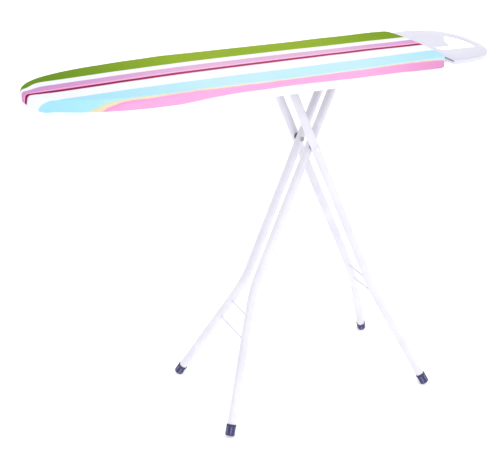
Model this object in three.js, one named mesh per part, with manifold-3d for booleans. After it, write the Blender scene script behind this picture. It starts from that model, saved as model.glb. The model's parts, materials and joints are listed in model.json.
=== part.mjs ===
// Folding ironing board: a striped cotton cover and a foam pad on a steel top,
// an open steel iron rest at the tail, and two crossed tube frames that fold flat.
// Millimetres. +X runs from the nose to the iron rest, +Z is up, the floor is z = 0.

import * as THREE from 'three';
import { mergeVertices } from 'three/addons/utils/BufferGeometryUtils.js';
import Module from 'manifold-3d';

const wasm = await Module();
wasm.setup();

// ---- driving dimensions ----------------------------------------------------

const GAP = 0.3;                 // clearance left between pieces that touch

// whole board
const OVERALL_LENGTH = 1222;     // nose of the cover to tip of the iron rest
const BOARD_LENGTH = 1062;       // nose of the cover to its tail
const TOP_HEIGHT = 948;          // floor to ironing surface
const NOSE_LENGTH = 330;         // length of the rounded nose
const NOSE_HALF = 145;           // half width where the nose ends
const NOSE_BLUNTNESS = 0.9;      // 1 would make the nose half an ellipse
const HALF_WIDTH = 147.5;        // half of the cover's greatest width
const WIDEST = 740;              // where it is that wide, from the nose
const TAIL_HALF = 139.5;         // half width at the tail
const TAIL_CORNER = 22;          // reach of the rounded corner at the tail
const TAIL_BOW = 11;             // how far the tail edge falls back at its ends
const TAIL_POWER = 2.5;          // how suddenly it does so
const SIDE_HEIGHT = 31;          // depth of the covered side

// layers of the top
const COVER_THICKNESS = 1.2;
const PAD_THICKNESS = 7.6;
const SHEET = 1.2;               // steel of the top plate and the rim
const COVER_HEM = 16;            // cover turned under the rim
const RIM_LIP = 14;              // inward lip at the foot of the rim

// iron rest
const REST_TOP = 938;            // height of its upper face
const REST_HALF_WIDTH = 149;
const REST_DEPTH = 6.5;          // turned-down edge
const REST_SHEET = 1.5;
const REST_START = 1067;         // inner corners, from the nose
const REST_CLEARANCE = 9;        // gap between the iron rest and the covered tail
const REST_ROUND = 127;          // length of its rounded end
const REST_POWER = 2.4;          // superellipse exponent of the rounded end
const SCREW_BOSS = 7;            // radius of the bosses its screws go into

// leg frames: tubes run parallel from the top, then splay out to the feet
const TUBE_RADIUS = 11;
const TUBE_BORE = 10;
const WELD_OVERLAP = 6;          // how far a leg runs into its top tube before it is cut to fit
const BEND_RADIUS = 180;
const PIVOT_HEIGHT = 902;        // both top tubes
const CROSS_X = 117.8;           // where the two frames cross
const CROSS_Z = 722.6;
const TOP_REACH = 76.5;          // each top tube stands this far from CROSS_X
const INNER = { slope: 0.4022, halfTop: 26.5, halfFoot: 174.5, bend: 337, rods: [272, 218] };
const OUTER = { slope: -0.4507, halfTop: 54.5, halfFoot: 174, bend: 274, rods: [303, 257] };
const ROD_RADIUS = 2.5;
const RIVET_RADIUS = 4;
const FOLD_ANGLE = THREE.MathUtils.degToRad(60);

// feet
const FOOT_RADIUS = 13.3;
const FOOT_LENGTH = 30;
const FOOT_FLOOR = 8;            // solid thickness below the tube's end
const FOOT_EDGE = [[10.3, 0], [12.4, 0.9], [13.3, 3]];   // rounded lower edge: radius, height
const FOOT_FLAT = 1;             // how much of the lower edge is worn flat

// mechanism under the board
const INNER_TOP_HALF = 50;       // half length of the hinged top tube
const OUTER_TOP_HALF = 66;       // half length of the sliding top tube
const RAIL_Y = 76.5;             // inner face of each guide rail
const RAIL_SHEET = 2.5;
const RAIL_BOTTOM = 889;
const SLIDE_PIN = 5.5;           // radius of the pins that run in the rails
const SLIDE_PLAY = 0.5;
const SHAFT_Y = -40;             // release lever's shaft
const SHAFT_Z = 926;
const SHAFT_RADIUS = 4;
const LEVER_X = 95;
const LEVER_WIDTH = 22;
const LEVER_SHEET = 2;
const CATCH_PITCH = 39;          // spacing of the catch bar's teeth
const BAR_HEIGHT = 11.6;         // cross bars under the top plate
const ARM_Y = 92;                // iron rest's arms
const ARM_WIDTH = 24;
const ARM_THICKNESS = 4;
const BARS = { nose: 180, front: 350, middle: 860, tail: 1010 };   // their places, from the nose
const BAR_HALF = 10;             // half width of a cross bar
const BAR_SHEET = 1.5;
const EAR_SHEET = 2.5;           // hinge bracket
const EAR_DROP = 14;             // its ears reach this far below the hinge pin
const EAR_FOOT = 22;             // half width of an ear at its root
const EAR_TIP = 12;
const HINGE_PIN = 4;             // radius
const PLUG_LENGTH = 14;          // plastic plugs in the ends of the top tubes
const PLUG_FLANGE = 3;
const RAIL_FLANGE = 22;
const RAIL_END = 25;             // rail beyond the ends of the slide's travel
const TOOTH_HALF = 4;
const TOOTH_GULLET = 12;         // sloping side of each catch tooth
const LEVER_TIP = [116, 892];    // y and underside of the release lever's tip
const LEVER_BEND = [71, 93];     // y where it turns down, and where it levels out
const GRIP_END = 119;
const GRIP_LENGTH = 21;
const GRIP_SKIN = 3;             // plastic at the sides of the lever
const GRIP_HEIGHT = 10;
const CLIP_BOTTOM = 916;         // straps that carry the lever's shaft
const CLIP_SHEET = 3;
const CLIP_REACH = 16;
const CLIP_HALF = 10;
const SPRING_RADIUS = 6.2;
const SPRING_WIRE = 0.7;
const SPRING_LENGTH = 9.5;
const SPRING_TURNS = 5;
const SCREW_HEAD = 4.8;          // radius
const SCREW_SHANK = 2.4;
const SCREW_HOLE = 2.8;

// ---- derived places --------------------------------------------------------

const fromNose = (distance) => distance - OVERALL_LENGTH / 2;
const PAD_TOP = TOP_HEIGHT - COVER_THICKNESS - GAP;
const PAD_BOTTOM = PAD_TOP - PAD_THICKNESS;
const PLATE_TOP = PAD_BOTTOM - GAP;
const PLATE_BOTTOM = PLATE_TOP - SHEET;
const UNDER_TOP = PLATE_BOTTOM - GAP;          // everything below hangs from here
const HEM_BOTTOM = TOP_HEIGHT - SIDE_HEIGHT;
const RIM_BOTTOM = HEM_BOTTOM + COVER_THICKNESS + GAP;
const RIM_INSET = COVER_THICKNESS + 1;
const REST_BOTTOM = REST_TOP - REST_DEPTH;
const REST_SKIN = REST_TOP - REST_SHEET;
const BAR_BOTTOM = UNDER_TOP - BAR_HEIGHT;
const ARM_TOP = BAR_BOTTOM - GAP;
const INNER_PIVOT_X = CROSS_X + TOP_REACH;
const OUTER_PIVOT_X = CROSS_X - TOP_REACH;
const ARM_LENGTH = Math.hypot(TOP_REACH, PIVOT_HEIGHT - CROSS_Z);
const REST_ANGLE = Math.atan2(TOP_REACH, PIVOT_HEIGHT - CROSS_Z);
const SLIDE_TRAVEL = 2 * ARM_LENGTH * (Math.sin(REST_ANGLE + FOLD_ANGLE) - Math.sin(REST_ANGLE));

// ---- finishes --------------------------------------------------------------

const finish = (color, roughness, metalness = 0) => ({ color, roughness, metalness });
const WHITE_STEEL = finish(0xe9e8f2, 0.45);
const ZINC = finish(0xa9abb0, 0.35, 0.9);
const FABRIC = finish(0xc6ecfb, 0.9);
const FOAM = finish(0xf1efe6, 0.95);
const INDIGO_RUBBER = finish(0x4b4878, 0.6);
const DARK_PLASTIC = finish(0x3c3d46, 0.55);

// ---- solid helpers ---------------------------------------------------------

function toSolid(geometry) {
  const bare = geometry.clone();
  bare.deleteAttribute('normal');
  bare.deleteAttribute('uv');
  const merged = mergeVertices(bare, 1e-4);
  const vertProperties = new Float32Array(merged.attributes.position.array);
  const triVerts = new Uint32Array(merged.index.array);
  return new wasm.Manifold(new wasm.Mesh({ numProp: 3, vertProperties, triVerts }));
}

function toGeometry(solid) {
  const mesh = solid.getMesh();
  const geometry = new THREE.BufferGeometry();
  geometry.setAttribute('position', new THREE.BufferAttribute(mesh.vertProperties, 3));
  geometry.setIndex(new THREE.BufferAttribute(mesh.triVerts, 1));
  geometry.computeVertexNormals();
  return geometry;
}

function cut(base, tools) {
  let solid = toSolid(base);
  for (const tool of tools) solid = solid.subtract(toSolid(tool));
  return toGeometry(solid);
}

function join(pieces) {
  let solid = toSolid(pieces[0]);
  for (const piece of pieces.slice(1)) solid = solid.add(toSolid(piece));
  return toGeometry(solid);
}

function box(low, high) {
  const size = high.map((value, i) => value - low[i]);
  const centre = high.map((value, i) => (value + low[i]) / 2);
  return new THREE.BoxGeometry(...size).translate(...centre);
}

// A shape drawn in (x, y), raised from z0 to z1.
function prismZ(shape, z0, z1) {
  const geometry = new THREE.ExtrudeGeometry(shape, { depth: z1 - z0, bevelEnabled: false, curveSegments: 6 });
  return geometry.translate(0, 0, z0);
}

// A shape drawn in (y, z), run from x0 to x1.
function prismX(shape, x0, x1) {
  const geometry = new THREE.ExtrudeGeometry(shape, { depth: x1 - x0, bevelEnabled: false, curveSegments: 6 });
  const turn = new THREE.Matrix4().makeBasis(
    new THREE.Vector3(0, 1, 0), new THREE.Vector3(0, 0, 1), new THREE.Vector3(1, 0, 0));
  return geometry.applyMatrix4(turn).translate(x0, 0, 0);
}

// A shape drawn in (x, z), run from y0 to y1.
function prismY(shape, y0, y1) {
  const geometry = new THREE.ExtrudeGeometry(shape, { depth: y1 - y0, bevelEnabled: false, curveSegments: 6 });
  const turn = new THREE.Matrix4().makeBasis(
    new THREE.Vector3(1, 0, 0), new THREE.Vector3(0, 0, 1), new THREE.Vector3(0, -1, 0));
  return geometry.applyMatrix4(turn).translate(0, y1, 0);
}

function rodY(radius, x, z, y0, y1, sides = 16) {
  return new THREE.CylinderGeometry(radius, radius, y1 - y0, sides).translate(x, (y0 + y1) / 2, z);
}

function rodX(radius, y, z, x0, x1, sides = 16) {
  const geometry = new THREE.CylinderGeometry(radius, radius, x1 - x0, sides);
  return geometry.rotateZ(Math.PI / 2).translate((x0 + x1) / 2, y, z);
}

function rodZ(radius, x, y, z0, z1, sides = 16) {
  const geometry = new THREE.CylinderGeometry(radius, radius, z1 - z0, sides);
  return geometry.rotateX(Math.PI / 2).translate(x, y, (z0 + z1) / 2);
}

// A turned piece along Y: profile is a list of [radius, y] that starts and ends on the axis.
function turnedY(profile, x, z, sides = 16) {
  const points = profile.map(([radius, y]) => new THREE.Vector2(radius, y));
  return new THREE.LatheGeometry(points, sides).translate(x, 0, z);
}

// Mirrors a list of [radius, y] to the other side of y = 0.
const mirrorProfile = (profile) => profile.map(([radius, y]) => [radius, -y]).reverse();
const forSide = (profile, side) => (side > 0 ? profile : mirrorProfile(profile));

function roundedShape(corners) {
  const shape = new THREE.Shape();
  const count = corners.length;
  corners.forEach(([x, y, radius], i) => {
    const corner = new THREE.Vector2(x, y);
    const before = new THREE.Vector2(...corners[(i + count - 1) % count]).sub(corner).normalize();
    const after = new THREE.Vector2(...corners[(i + 1) % count]).sub(corner).normalize();
    const half = Math.acos(THREE.MathUtils.clamp(before.dot(after), -1, 1)) / 2;
    const reach = radius / Math.tan(half);
    const enter = corner.clone().addScaledVector(before, reach);
    const leave = corner.clone().addScaledVector(after, reach);
    if (i === 0) shape.moveTo(enter.x, enter.y);
    else shape.lineTo(enter.x, enter.y);
    shape.quadraticCurveTo(corner.x, corner.y, leave.x, leave.y);
  });
  return shape;
}

// ---- outlines --------------------------------------------------------------

// The +Y half of the board's outline, from the nose tip to the middle of the tail.
function boardHalf() {
  const points = [];
  const noseSteps = 14;
  for (let i = 0; i <= noseSteps; i += 1) {
    const angle = (i / noseSteps) * (Math.PI / 2);
    const y = NOSE_HALF * Math.sin(angle) ** NOSE_BLUNTNESS;
    points.push(new THREE.Vector2(NOSE_LENGTH * (1 - Math.cos(angle)), y));
  }
  const tailEdge = (y) => new THREE.Vector2(BOARD_LENGTH - TAIL_BOW * (y / TAIL_HALF) ** TAIL_POWER, y);
  const corner = tailEdge(TAIL_HALF);
  const cornerStart = new THREE.Vector2(corner.x - TAIL_CORNER, TAIL_HALF);
  const widest = new THREE.Vector2(WIDEST, HALF_WIDTH);
  const side = new THREE.QuadraticBezierCurve(
    widest, new THREE.Vector2((WIDEST + cornerStart.x) / 2, HALF_WIDTH), cornerStart);
  const round = new THREE.QuadraticBezierCurve(cornerStart, corner, tailEdge(TAIL_HALF - TAIL_CORNER));
  points.push(...side.getPoints(4), ...round.getPoints(4).slice(1));
  points.push(...[0.6, 0.3, 0].map((share) => tailEdge(share * TAIL_HALF)));
  return points.map(({ x, y }) => new THREE.Vector2(fromNose(x), y));
}

// The +Y half of the iron rest's outline, from its inner corner to its tip.
function restHalf() {
  const centre = fromNose(OVERALL_LENGTH - REST_ROUND);
  const points = [new THREE.Vector2(fromNose(REST_START), REST_HALF_WIDTH - 4)];
  const steps = 14;
  for (let i = 0; i <= steps; i += 1) {
    const angle = (1 - i / steps) * (Math.PI / 2);
    points.push(new THREE.Vector2(
      centre + REST_ROUND * Math.cos(angle) ** (2 / REST_POWER),
      REST_HALF_WIDTH * Math.sin(angle) ** (2 / REST_POWER)));
  }
  return points;
}

// Closes a +Y half outline by mirroring it, moved inwards by inset.
function mirroredOutline(half, inset) {
  const lower = half.filter((point) => point.y > 1e-6).map((point) => new THREE.Vector2(point.x, -point.y));
  const loop = [...half, ...lower.reverse()].reverse();
  const count = loop.length;
  return loop.map((point, i) => {
    const into = point.clone().sub(loop[(i + count - 1) % count]).normalize();
    const out = loop[(i + 1) % count].clone().sub(point).normalize();
    const along = into.clone().add(out).normalize();
    const scale = inset / Math.max(0.5, along.dot(out));
    return new THREE.Vector2(point.x - along.y * scale, point.y + along.x * scale);
  });
}

const boardShape = (inset) => new THREE.Shape(mirroredOutline(boardHalf(), inset));
const restShape = (inset) => new THREE.Shape(mirroredOutline(restHalf(), inset));

// The opening of the iron rest: a broad bay and the narrow end that runs off it.
// Corners are [distance from the nose, y, radius], clockwise from above.
const REST_OPENING = [
  [1184, 66, 8], [1203, 34, 24], [1208, -18, 50], [1197, -64, 10], [1168, -58, 40],
  [1099, -57, 10], [1090, -22, 6], [1139, -24, 4], [1154, 18, 30],
];

// The opening's outline, moved outwards by grow.
function restOpening(grow) {
  const count = REST_OPENING.length;
  const places = REST_OPENING.map(([distance, y]) => new THREE.Vector2(fromNose(distance), y));
  return roundedShape(places.map((at, i) => {
    const into = at.clone().sub(places[(i + count - 1) % count]).normalize();
    const out = places[(i + 1) % count].clone().sub(at).normalize();
    const mitre = grow / (1 + into.dot(out));
    const turnsRight = into.cross(out) < 0;
    const radius = REST_OPENING[i][2] + (turnsRight ? grow : -grow);
    return [at.x - (into.y + out.y) * mitre, at.y + (into.x + out.x) * mitre, radius];
  }));
}

// ---- the board's layers ----------------------------------------------------

// Windows in the tail of the rim and the cover, where the iron rest's arms come out.
function armWindows() {
  const half = ARM_WIDTH / 2 + 1;
  const inner = fromNose(BOARD_LENGTH - 2 * COVER_HEM);
  return [-ARM_Y, ARM_Y].map((y) => box(
    [inner, y - half, HEM_BOTTOM - 1], [fromNose(BOARD_LENGTH + 1), y + half, ARM_TOP + 1]));
}

function coverGeometry() {
  const inside = prismZ(
    boardShape(COVER_THICKNESS), HEM_BOTTOM + COVER_THICKNESS, TOP_HEIGHT - COVER_THICKNESS);
  const mouth = prismZ(boardShape(COVER_HEM), HEM_BOTTOM - 1, HEM_BOTTOM + COVER_THICKNESS + 1);
  return cut(prismZ(boardShape(0), HEM_BOTTOM, TOP_HEIGHT), [inside, mouth, ...armWindows()]);
}

function rimGeometry() {
  const top = PLATE_BOTTOM - GAP;
  const inside = prismZ(boardShape(RIM_INSET + SHEET), RIM_BOTTOM + SHEET, top + 1);
  const mouth = prismZ(boardShape(RIM_INSET + RIM_LIP), RIM_BOTTOM - 1, RIM_BOTTOM + SHEET + 1);
  return cut(prismZ(boardShape(RIM_INSET), RIM_BOTTOM, top), [inside, mouth, ...armWindows()]);
}

// ---- iron rest -------------------------------------------------------------

const REST_SCREW_X = fromNose(REST_START + 33);
const ARM_SCREW_X = fromNose(BARS.tail);

function ironRestGeometry() {
  const tail = (gap) => prismZ(boardShape(-gap), REST_BOTTOM - 2, REST_TOP + 2);
  const hollow = cut(
    prismZ(restShape(REST_SHEET), REST_BOTTOM - 1, REST_SKIN),
    [tail(REST_CLEARANCE + REST_SHEET), prismZ(restOpening(REST_SHEET), REST_BOTTOM - 2, REST_SKIN + 1)]);
  const opening = prismZ(restOpening(0), REST_BOTTOM - 1, REST_TOP + 1);
  const pressed = cut(prismZ(restShape(0), REST_BOTTOM, REST_TOP), [tail(REST_CLEARANCE), hollow, opening]);
  const places = [-ARM_Y, ARM_Y];
  const bosses = places.map((y) => rodZ(SCREW_BOSS, REST_SCREW_X, y, ARM_TOP + GAP, REST_SKIN + 0.5));
  const holes = places.map((y) => rodZ(SCREW_HOLE, REST_SCREW_X, y, ARM_TOP - 1, REST_SKIN, 12));
  return cut(join([pressed, ...bosses]), holes);
}

function restArmGeometry(side) {
  const shape = new THREE.Shape();
  const half = ARM_WIDTH / 2;
  const start = ARM_SCREW_X - half - 8;
  const end = REST_SCREW_X + half + 8;
  shape.moveTo(start, -half);
  shape.lineTo(end - half, -half);
  shape.absarc(end - half, 0, half, -Math.PI / 2, Math.PI / 2, false);
  shape.lineTo(start, half);
  shape.closePath();
  const strap = prismZ(shape, ARM_TOP - ARM_THICKNESS, ARM_TOP);
  const holes = [ARM_SCREW_X, REST_SCREW_X].map((x) => rodZ(SCREW_HOLE, x, 0, ARM_TOP - 9, ARM_TOP + 1, 12));
  return cut(strap, holes).translate(0, side * ARM_Y, 0);
}

// A dome-headed screw that comes up from below.
function screwGeometry(x, y, top) {
  const seat = ARM_TOP - ARM_THICKNESS - GAP;
  const profile = [
    [0, seat - 2.6], [0.7 * SCREW_HEAD, seat - 2], [SCREW_HEAD, seat - 0.8], [SCREW_HEAD, seat],
    [SCREW_SHANK, seat], [SCREW_SHANK, top], [0, top],
  ];
  const points = profile.map(([radius, z]) => new THREE.Vector2(radius, z));
  return new THREE.LatheGeometry(points, 12).rotateX(Math.PI / 2).translate(x, y, 0);
}

// ---- structure under the top plate -----------------------------------------

// A shallow channel across the board, open side up, its ends shaped to the inside of the rim.
function crossBarGeometry(distance, screwed) {
  const half = BAR_HALF - BAR_SHEET;
  const reach = HALF_WIDTH;
  const x = fromNose(distance);
  const outer = box([x - BAR_HALF, -reach, BAR_BOTTOM], [x + BAR_HALF, reach, UNDER_TOP]);
  const hollow = box([x - half, -reach - 1, BAR_BOTTOM + BAR_SHEET], [x + half, reach + 1, UNDER_TOP + 1]);
  const screws = screwed ? [-ARM_Y, ARM_Y] : [];
  const holes = screws.map((y) => rodZ(SCREW_HOLE, x, y, BAR_BOTTOM - 1, BAR_BOTTOM + BAR_SHEET + 1, 12));
  const inside = toSolid(prismZ(boardShape(RIM_INSET + SHEET + GAP), BAR_BOTTOM - 1, UNDER_TOP + 1));
  return toGeometry(toSolid(cut(outer, [hollow, ...holes])).intersect(inside));
}

const EAR_Y = INNER_TOP_HALF + PLUG_FLANGE + 1;

function hingeBracketGeometry() {
  const outer = EAR_Y + EAR_SHEET;
  const half = EAR_FOOT + 4;
  const web = box(
    [INNER_PIVOT_X - half, -outer, UNDER_TOP - EAR_SHEET], [INNER_PIVOT_X + half, outer, UNDER_TOP]);
  const foot = UNDER_TOP - 1;
  const tip = PIVOT_HEIGHT - EAR_DROP;
  const ear = roundedShape([
    [INNER_PIVOT_X - EAR_FOOT, foot, 1], [INNER_PIVOT_X - EAR_TIP, tip, 9],
    [INNER_PIVOT_X + EAR_TIP, tip, 9], [INNER_PIVOT_X + EAR_FOOT, foot, 1],
  ]);
  const ears = [prismY(ear, -outer, -EAR_Y), prismY(ear, EAR_Y, outer)];
  const bore = rodY(HINGE_PIN + GAP, INNER_PIVOT_X, PIVOT_HEIGHT, -outer - 1, outer + 1);
  return cut(join([web, ...ears]), [bore]);
}

function hingePinGeometry() {
  const end = EAR_Y + EAR_SHEET + GAP;
  const head = [[HINGE_PIN, end], [7, end], [7, end + 1.5], [5, end + 3.2], [0, end + 3.8]];
  return turnedY([...mirrorProfile(head), ...head], INNER_PIVOT_X, PIVOT_HEIGHT);
}

function guideRailGeometry(side) {
  const start = OUTER_PIVOT_X - SLIDE_TRAVEL - RAIL_END;
  const end = OUTER_PIVOT_X + RAIL_END;
  const [web, edge, under] = [RAIL_Y + RAIL_SHEET, RAIL_Y + RAIL_FLANGE, UNDER_TOP - RAIL_SHEET];
  const shape = new THREE.Shape([
    [RAIL_Y, RAIL_BOTTOM], [web, RAIL_BOTTOM], [web, under],
    [edge, under], [edge, UNDER_TOP], [RAIL_Y, UNDER_TOP],
  ].map(([y, z]) => new THREE.Vector2(y, z)));
  const slot = new THREE.Shape();
  const reach = SLIDE_PIN + SLIDE_PLAY;
  slot.absarc(OUTER_PIVOT_X, PIVOT_HEIGHT, reach, -Math.PI / 2, Math.PI / 2, false);
  slot.absarc(OUTER_PIVOT_X - SLIDE_TRAVEL, PIVOT_HEIGHT, reach, Math.PI / 2, 1.5 * Math.PI, false);
  const rail = cut(prismX(shape, start, end), [prismY(slot, RAIL_Y - 1, RAIL_Y + RAIL_SHEET + 1)]);
  return side > 0 ? rail : toGeometry(toSolid(rail).mirror([0, 1, 0]));
}

// ---- release lever and catch ----------------------------------------------

const CATCH_TOP = SHAFT_Z - SHAFT_RADIUS - GAP;
const CATCH_START = OUTER_PIVOT_X - SLIDE_TRAVEL - 20;
const CATCH_END = OUTER_PIVOT_X + 20;
const STRIP_START = SHAFT_Y - 5;
const SHAFT_START = CATCH_START - 18;
const SHAFT_END = LEVER_X + LEVER_WIDTH / 2 + 18;

// A folded strip: flat under the shaft, then a row of teeth turned down at its free edge.
function catchBarGeometry() {
  const strip = box([CATCH_START, STRIP_START, CATCH_TOP - LEVER_SHEET], [CATCH_END, LEVER_SHEET, CATCH_TOP]);
  const tip = PIVOT_HEIGHT + TUBE_RADIUS + 0.4;
  const root = CATCH_TOP - LEVER_SHEET;
  const shape = new THREE.Shape();
  const teeth = Math.floor((CATCH_END - CATCH_START) / CATCH_PITCH);
  shape.moveTo(CATCH_START, root + 1);
  for (let i = 0; i <= teeth; i += 1) {
    const centre = CATCH_START + TOOTH_HALF + 2 + i * CATCH_PITCH;
    shape.lineTo(centre - TOOTH_HALF - 2, root);
    shape.lineTo(centre - TOOTH_HALF, tip);
    shape.lineTo(centre + TOOTH_HALF, tip);
    shape.lineTo(centre + TOOTH_GULLET, root);
  }
  shape.lineTo(CATCH_END, root + 1);
  shape.closePath();
  return join([strip, prismY(shape, 0, LEVER_SHEET)]);
}

function leverArmGeometry() {
  const [tip, low] = LEVER_TIP;
  const [turn, level] = LEVER_BEND;
  const mitre = 0.6 * LEVER_SHEET;
  const points = [
    [STRIP_START, CATCH_TOP], [STRIP_START, CATCH_TOP - LEVER_SHEET], [turn, CATCH_TOP - LEVER_SHEET],
    [level, low], [tip, low], [tip, low + LEVER_SHEET],
    [level + mitre, low + LEVER_SHEET], [turn + mitre, CATCH_TOP],
  ].map(([y, z]) => new THREE.Vector2(y, z));
  return prismX(new THREE.Shape(points), LEVER_X - LEVER_WIDTH / 2, LEVER_X + LEVER_WIDTH / 2);
}

function leverGripGeometry() {
  const [tip, low] = LEVER_TIP;
  const half = LEVER_WIDTH / 2 + GRIP_SKIN;
  const start = GRIP_END - GRIP_LENGTH;
  const outline = roundedShape([
    [LEVER_X - half, start, 3], [LEVER_X + half, start, 3],
    [LEVER_X + half, GRIP_END, 8], [LEVER_X - half, GRIP_END, 8]]);
  const bottom = low + (LEVER_SHEET - GRIP_HEIGHT) / 2;
  const sleeve = prismZ(outline, bottom, bottom + GRIP_HEIGHT);
  const pocket = box(
    [LEVER_X - LEVER_WIDTH / 2 - GAP, start - 1, low - GAP],
    [LEVER_X + LEVER_WIDTH / 2 + GAP, tip + GAP, low + LEVER_SHEET + GAP]);
  return cut(sleeve, [pocket]);
}

function leverClipGeometry(x) {
  const [web, end, under] = [x + CLIP_SHEET, x + CLIP_REACH, UNDER_TOP - CLIP_SHEET];
  const tab = new THREE.Shape([
    [x, CLIP_BOTTOM], [web, CLIP_BOTTOM], [web, under], [end, under], [end, UNDER_TOP], [x, UNDER_TOP],
  ].map(([px, pz]) => new THREE.Vector2(px, pz)));
  const bore = rodX(SHAFT_RADIUS + GAP, SHAFT_Y, SHAFT_Z, x - 1, web + 1);
  return cut(prismY(tab, SHAFT_Y - CLIP_HALF, SHAFT_Y + CLIP_HALF), [bore]);
}

// The torsion spring's wire, wound round the shaft.
class Helix extends THREE.Curve {
  getPoint(t) {
    const angle = t * SPRING_TURNS * 2 * Math.PI;
    return new THREE.Vector3(
      LEVER_X + LEVER_WIDTH / 2 + 2 + t * SPRING_LENGTH,
      SHAFT_Y + SPRING_RADIUS * Math.cos(angle),
      SHAFT_Z + SPRING_RADIUS * Math.sin(angle));
  }
}

function leverSpringGeometry() {
  const wire = new THREE.Shape();
  wire.absarc(0, 0, SPRING_WIRE, 0, 2 * Math.PI, false);
  return new THREE.ExtrudeGeometry(wire, { extrudePath: new Helix(), steps: 45, curveSegments: 5 });
}

// ---- leg frames ------------------------------------------------------------

// A tube's centre line: straight, one arc, straight. Equal steps of t land on the arc's ends.
class BentLine extends THREE.Curve {
  constructor(top, corner, foot, radius, steps) {
    super();
    const up = top.clone().sub(corner).normalize();
    const down = foot.clone().sub(corner).normalize();
    const half = up.angleTo(down) / 2;
    const reach = radius / Math.tan(half);
    const toCentre = up.clone().add(down).normalize();
    this.top = top;
    this.foot = foot;
    this.enter = corner.clone().addScaledVector(up, reach);
    this.leave = corner.clone().addScaledVector(down, reach);
    this.centre = corner.clone().addScaledVector(toCentre, radius / Math.sin(half));
    const spoke = this.enter.clone().sub(this.centre);
    this.axis = new THREE.Vector3().crossVectors(spoke, up.clone().negate()).normalize();
    this.sweep = Math.PI - 2 * half;
    this.straight = 1 / steps;
  }

  arcAt(fraction, vector) {
    return vector.clone().applyAxisAngle(this.axis, fraction * this.sweep);
  }

  getPoint(t) {
    const lead = this.straight;
    if (t <= lead) return this.top.clone().lerp(this.enter, t / lead);
    if (t >= 1 - lead) return this.leave.clone().lerp(this.foot, (t - 1 + lead) / lead);
    const fraction = (t - lead) / (1 - 2 * lead);
    return this.centre.clone().add(this.arcAt(fraction, this.enter.clone().sub(this.centre)));
  }

  getTangent(t) {
    const along = this.enter.clone().sub(this.top).normalize();
    const lead = this.straight;
    return this.arcAt(THREE.MathUtils.clamp((t - lead) / (1 - 2 * lead), 0, 1), along);
  }

  getPointAt(u) {
    return this.getPoint(u);
  }

  getTangentAt(u) {
    return this.getTangent(u);
  }
}

const footDirection = (frame, side) => new THREE.Vector3(
  -frame.slope * frame.bend, side * (frame.halfFoot - frame.halfTop), -frame.bend).normalize();

// Where the tube's axis would meet the floor.
const footPoint = (frame, side) => new THREE.Vector3(
  CROSS_X - frame.slope * CROSS_Z, side * frame.halfFoot, 0);

// Centre of the foot's lower face: its edge dips FOOT_FLAT below the floor before it is worn flat.
function footCentre(frame, side) {
  const down = footDirection(frame, side);
  const lean = Math.hypot(down.x, down.y);
  const dips = FOOT_EDGE.map(([radius, up]) => radius * lean + up * down.z);
  const height = Math.max(...dips) - FOOT_FLAT;
  return footPoint(frame, side).addScaledVector(down, height / down.z);
}

function legSweep(frame, side, radius, bore, topDrop) {
  const steps = 7;
  const at = (z, y) => new THREE.Vector3(CROSS_X + frame.slope * (z - CROSS_Z), side * y, z);
  const top = at(PIVOT_HEIGHT - topDrop, frame.halfTop);
  const corner = at(frame.bend, frame.halfTop);
  const end = footCentre(frame, side).addScaledVector(footDirection(frame, side), -FOOT_FLOOR - GAP);
  const line = new BentLine(top, corner, end, BEND_RADIUS, steps);
  const ring = new THREE.Shape();
  ring.absarc(0, 0, radius, 0, 2 * Math.PI, false);
  if (bore > 0) {
    const hole = new THREE.Path();
    hole.absarc(0, 0, bore, 0, 2 * Math.PI, true);
    ring.holes.push(hole);
  }
  return new THREE.ExtrudeGeometry(ring, { extrudePath: line, steps, curveSegments: 18 });
}

function legGeometry(frame, side, pivotX) {
  const tube = legSweep(frame, side, TUBE_RADIUS, TUBE_BORE, WELD_OVERLAP);
  const saddle = rodY(TUBE_RADIUS + GAP, pivotX, PIVOT_HEIGHT, -100, 100, 24);
  const rivetHole = rodY(RIVET_RADIUS + 0.4, CROSS_X, CROSS_Z, side > 0 ? 0 : -100, side > 0 ? 100 : 0, 12);
  return cut(tube, [saddle, rivetHole]);
}

function topTubeGeometry(x, half) {
  const tube = rodY(TUBE_RADIUS, x, PIVOT_HEIGHT, -half, half, 24);
  return cut(tube, [rodY(TUBE_BORE, x, PIVOT_HEIGHT, -half - 1, half + 1, 24)]);
}

// A straight rod from tube to tube, trimmed to the tubes' round sides.
function legRodGeometry(frame, z) {
  const x = CROSS_X + frame.slope * (z - CROSS_Z);
  const spread = Math.max(0, frame.bend - z) / frame.bend;
  const y = frame.halfTop + (frame.halfFoot - frame.halfTop) * spread;
  const rod = rodY(ROD_RADIUS, x, z, -y, y, 8);
  return cut(rod, [1, -1].map((side) => legSweep(frame, side, TUBE_RADIUS + GAP, 0, WELD_OVERLAP)));
}

function footGeometry(frame, side) {
  const bore = TUBE_RADIUS + GAP;
  const profile = [
    [0, 0], ...FOOT_EDGE, [FOOT_RADIUS, FOOT_LENGTH - 1], [FOOT_RADIUS - 0.8, FOOT_LENGTH], [bore, FOOT_LENGTH],
    [bore, FOOT_FLOOR], [0, FOOT_FLOOR],
  ].map(([radius, height]) => new THREE.Vector2(radius, height));
  const cap = new THREE.LatheGeometry(profile, 24);
  const up = footDirection(frame, side).negate();
  cap.applyQuaternion(new THREE.Quaternion().setFromUnitVectors(new THREE.Vector3(0, 1, 0), up));
  const centre = footCentre(frame, side);
  cap.translate(centre.x, centre.y, centre.z);
  return cut(cap, [box([centre.x - 40, centre.y - 40, -20], [centre.x + 40, centre.y + 40, 0])]);
}

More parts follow.
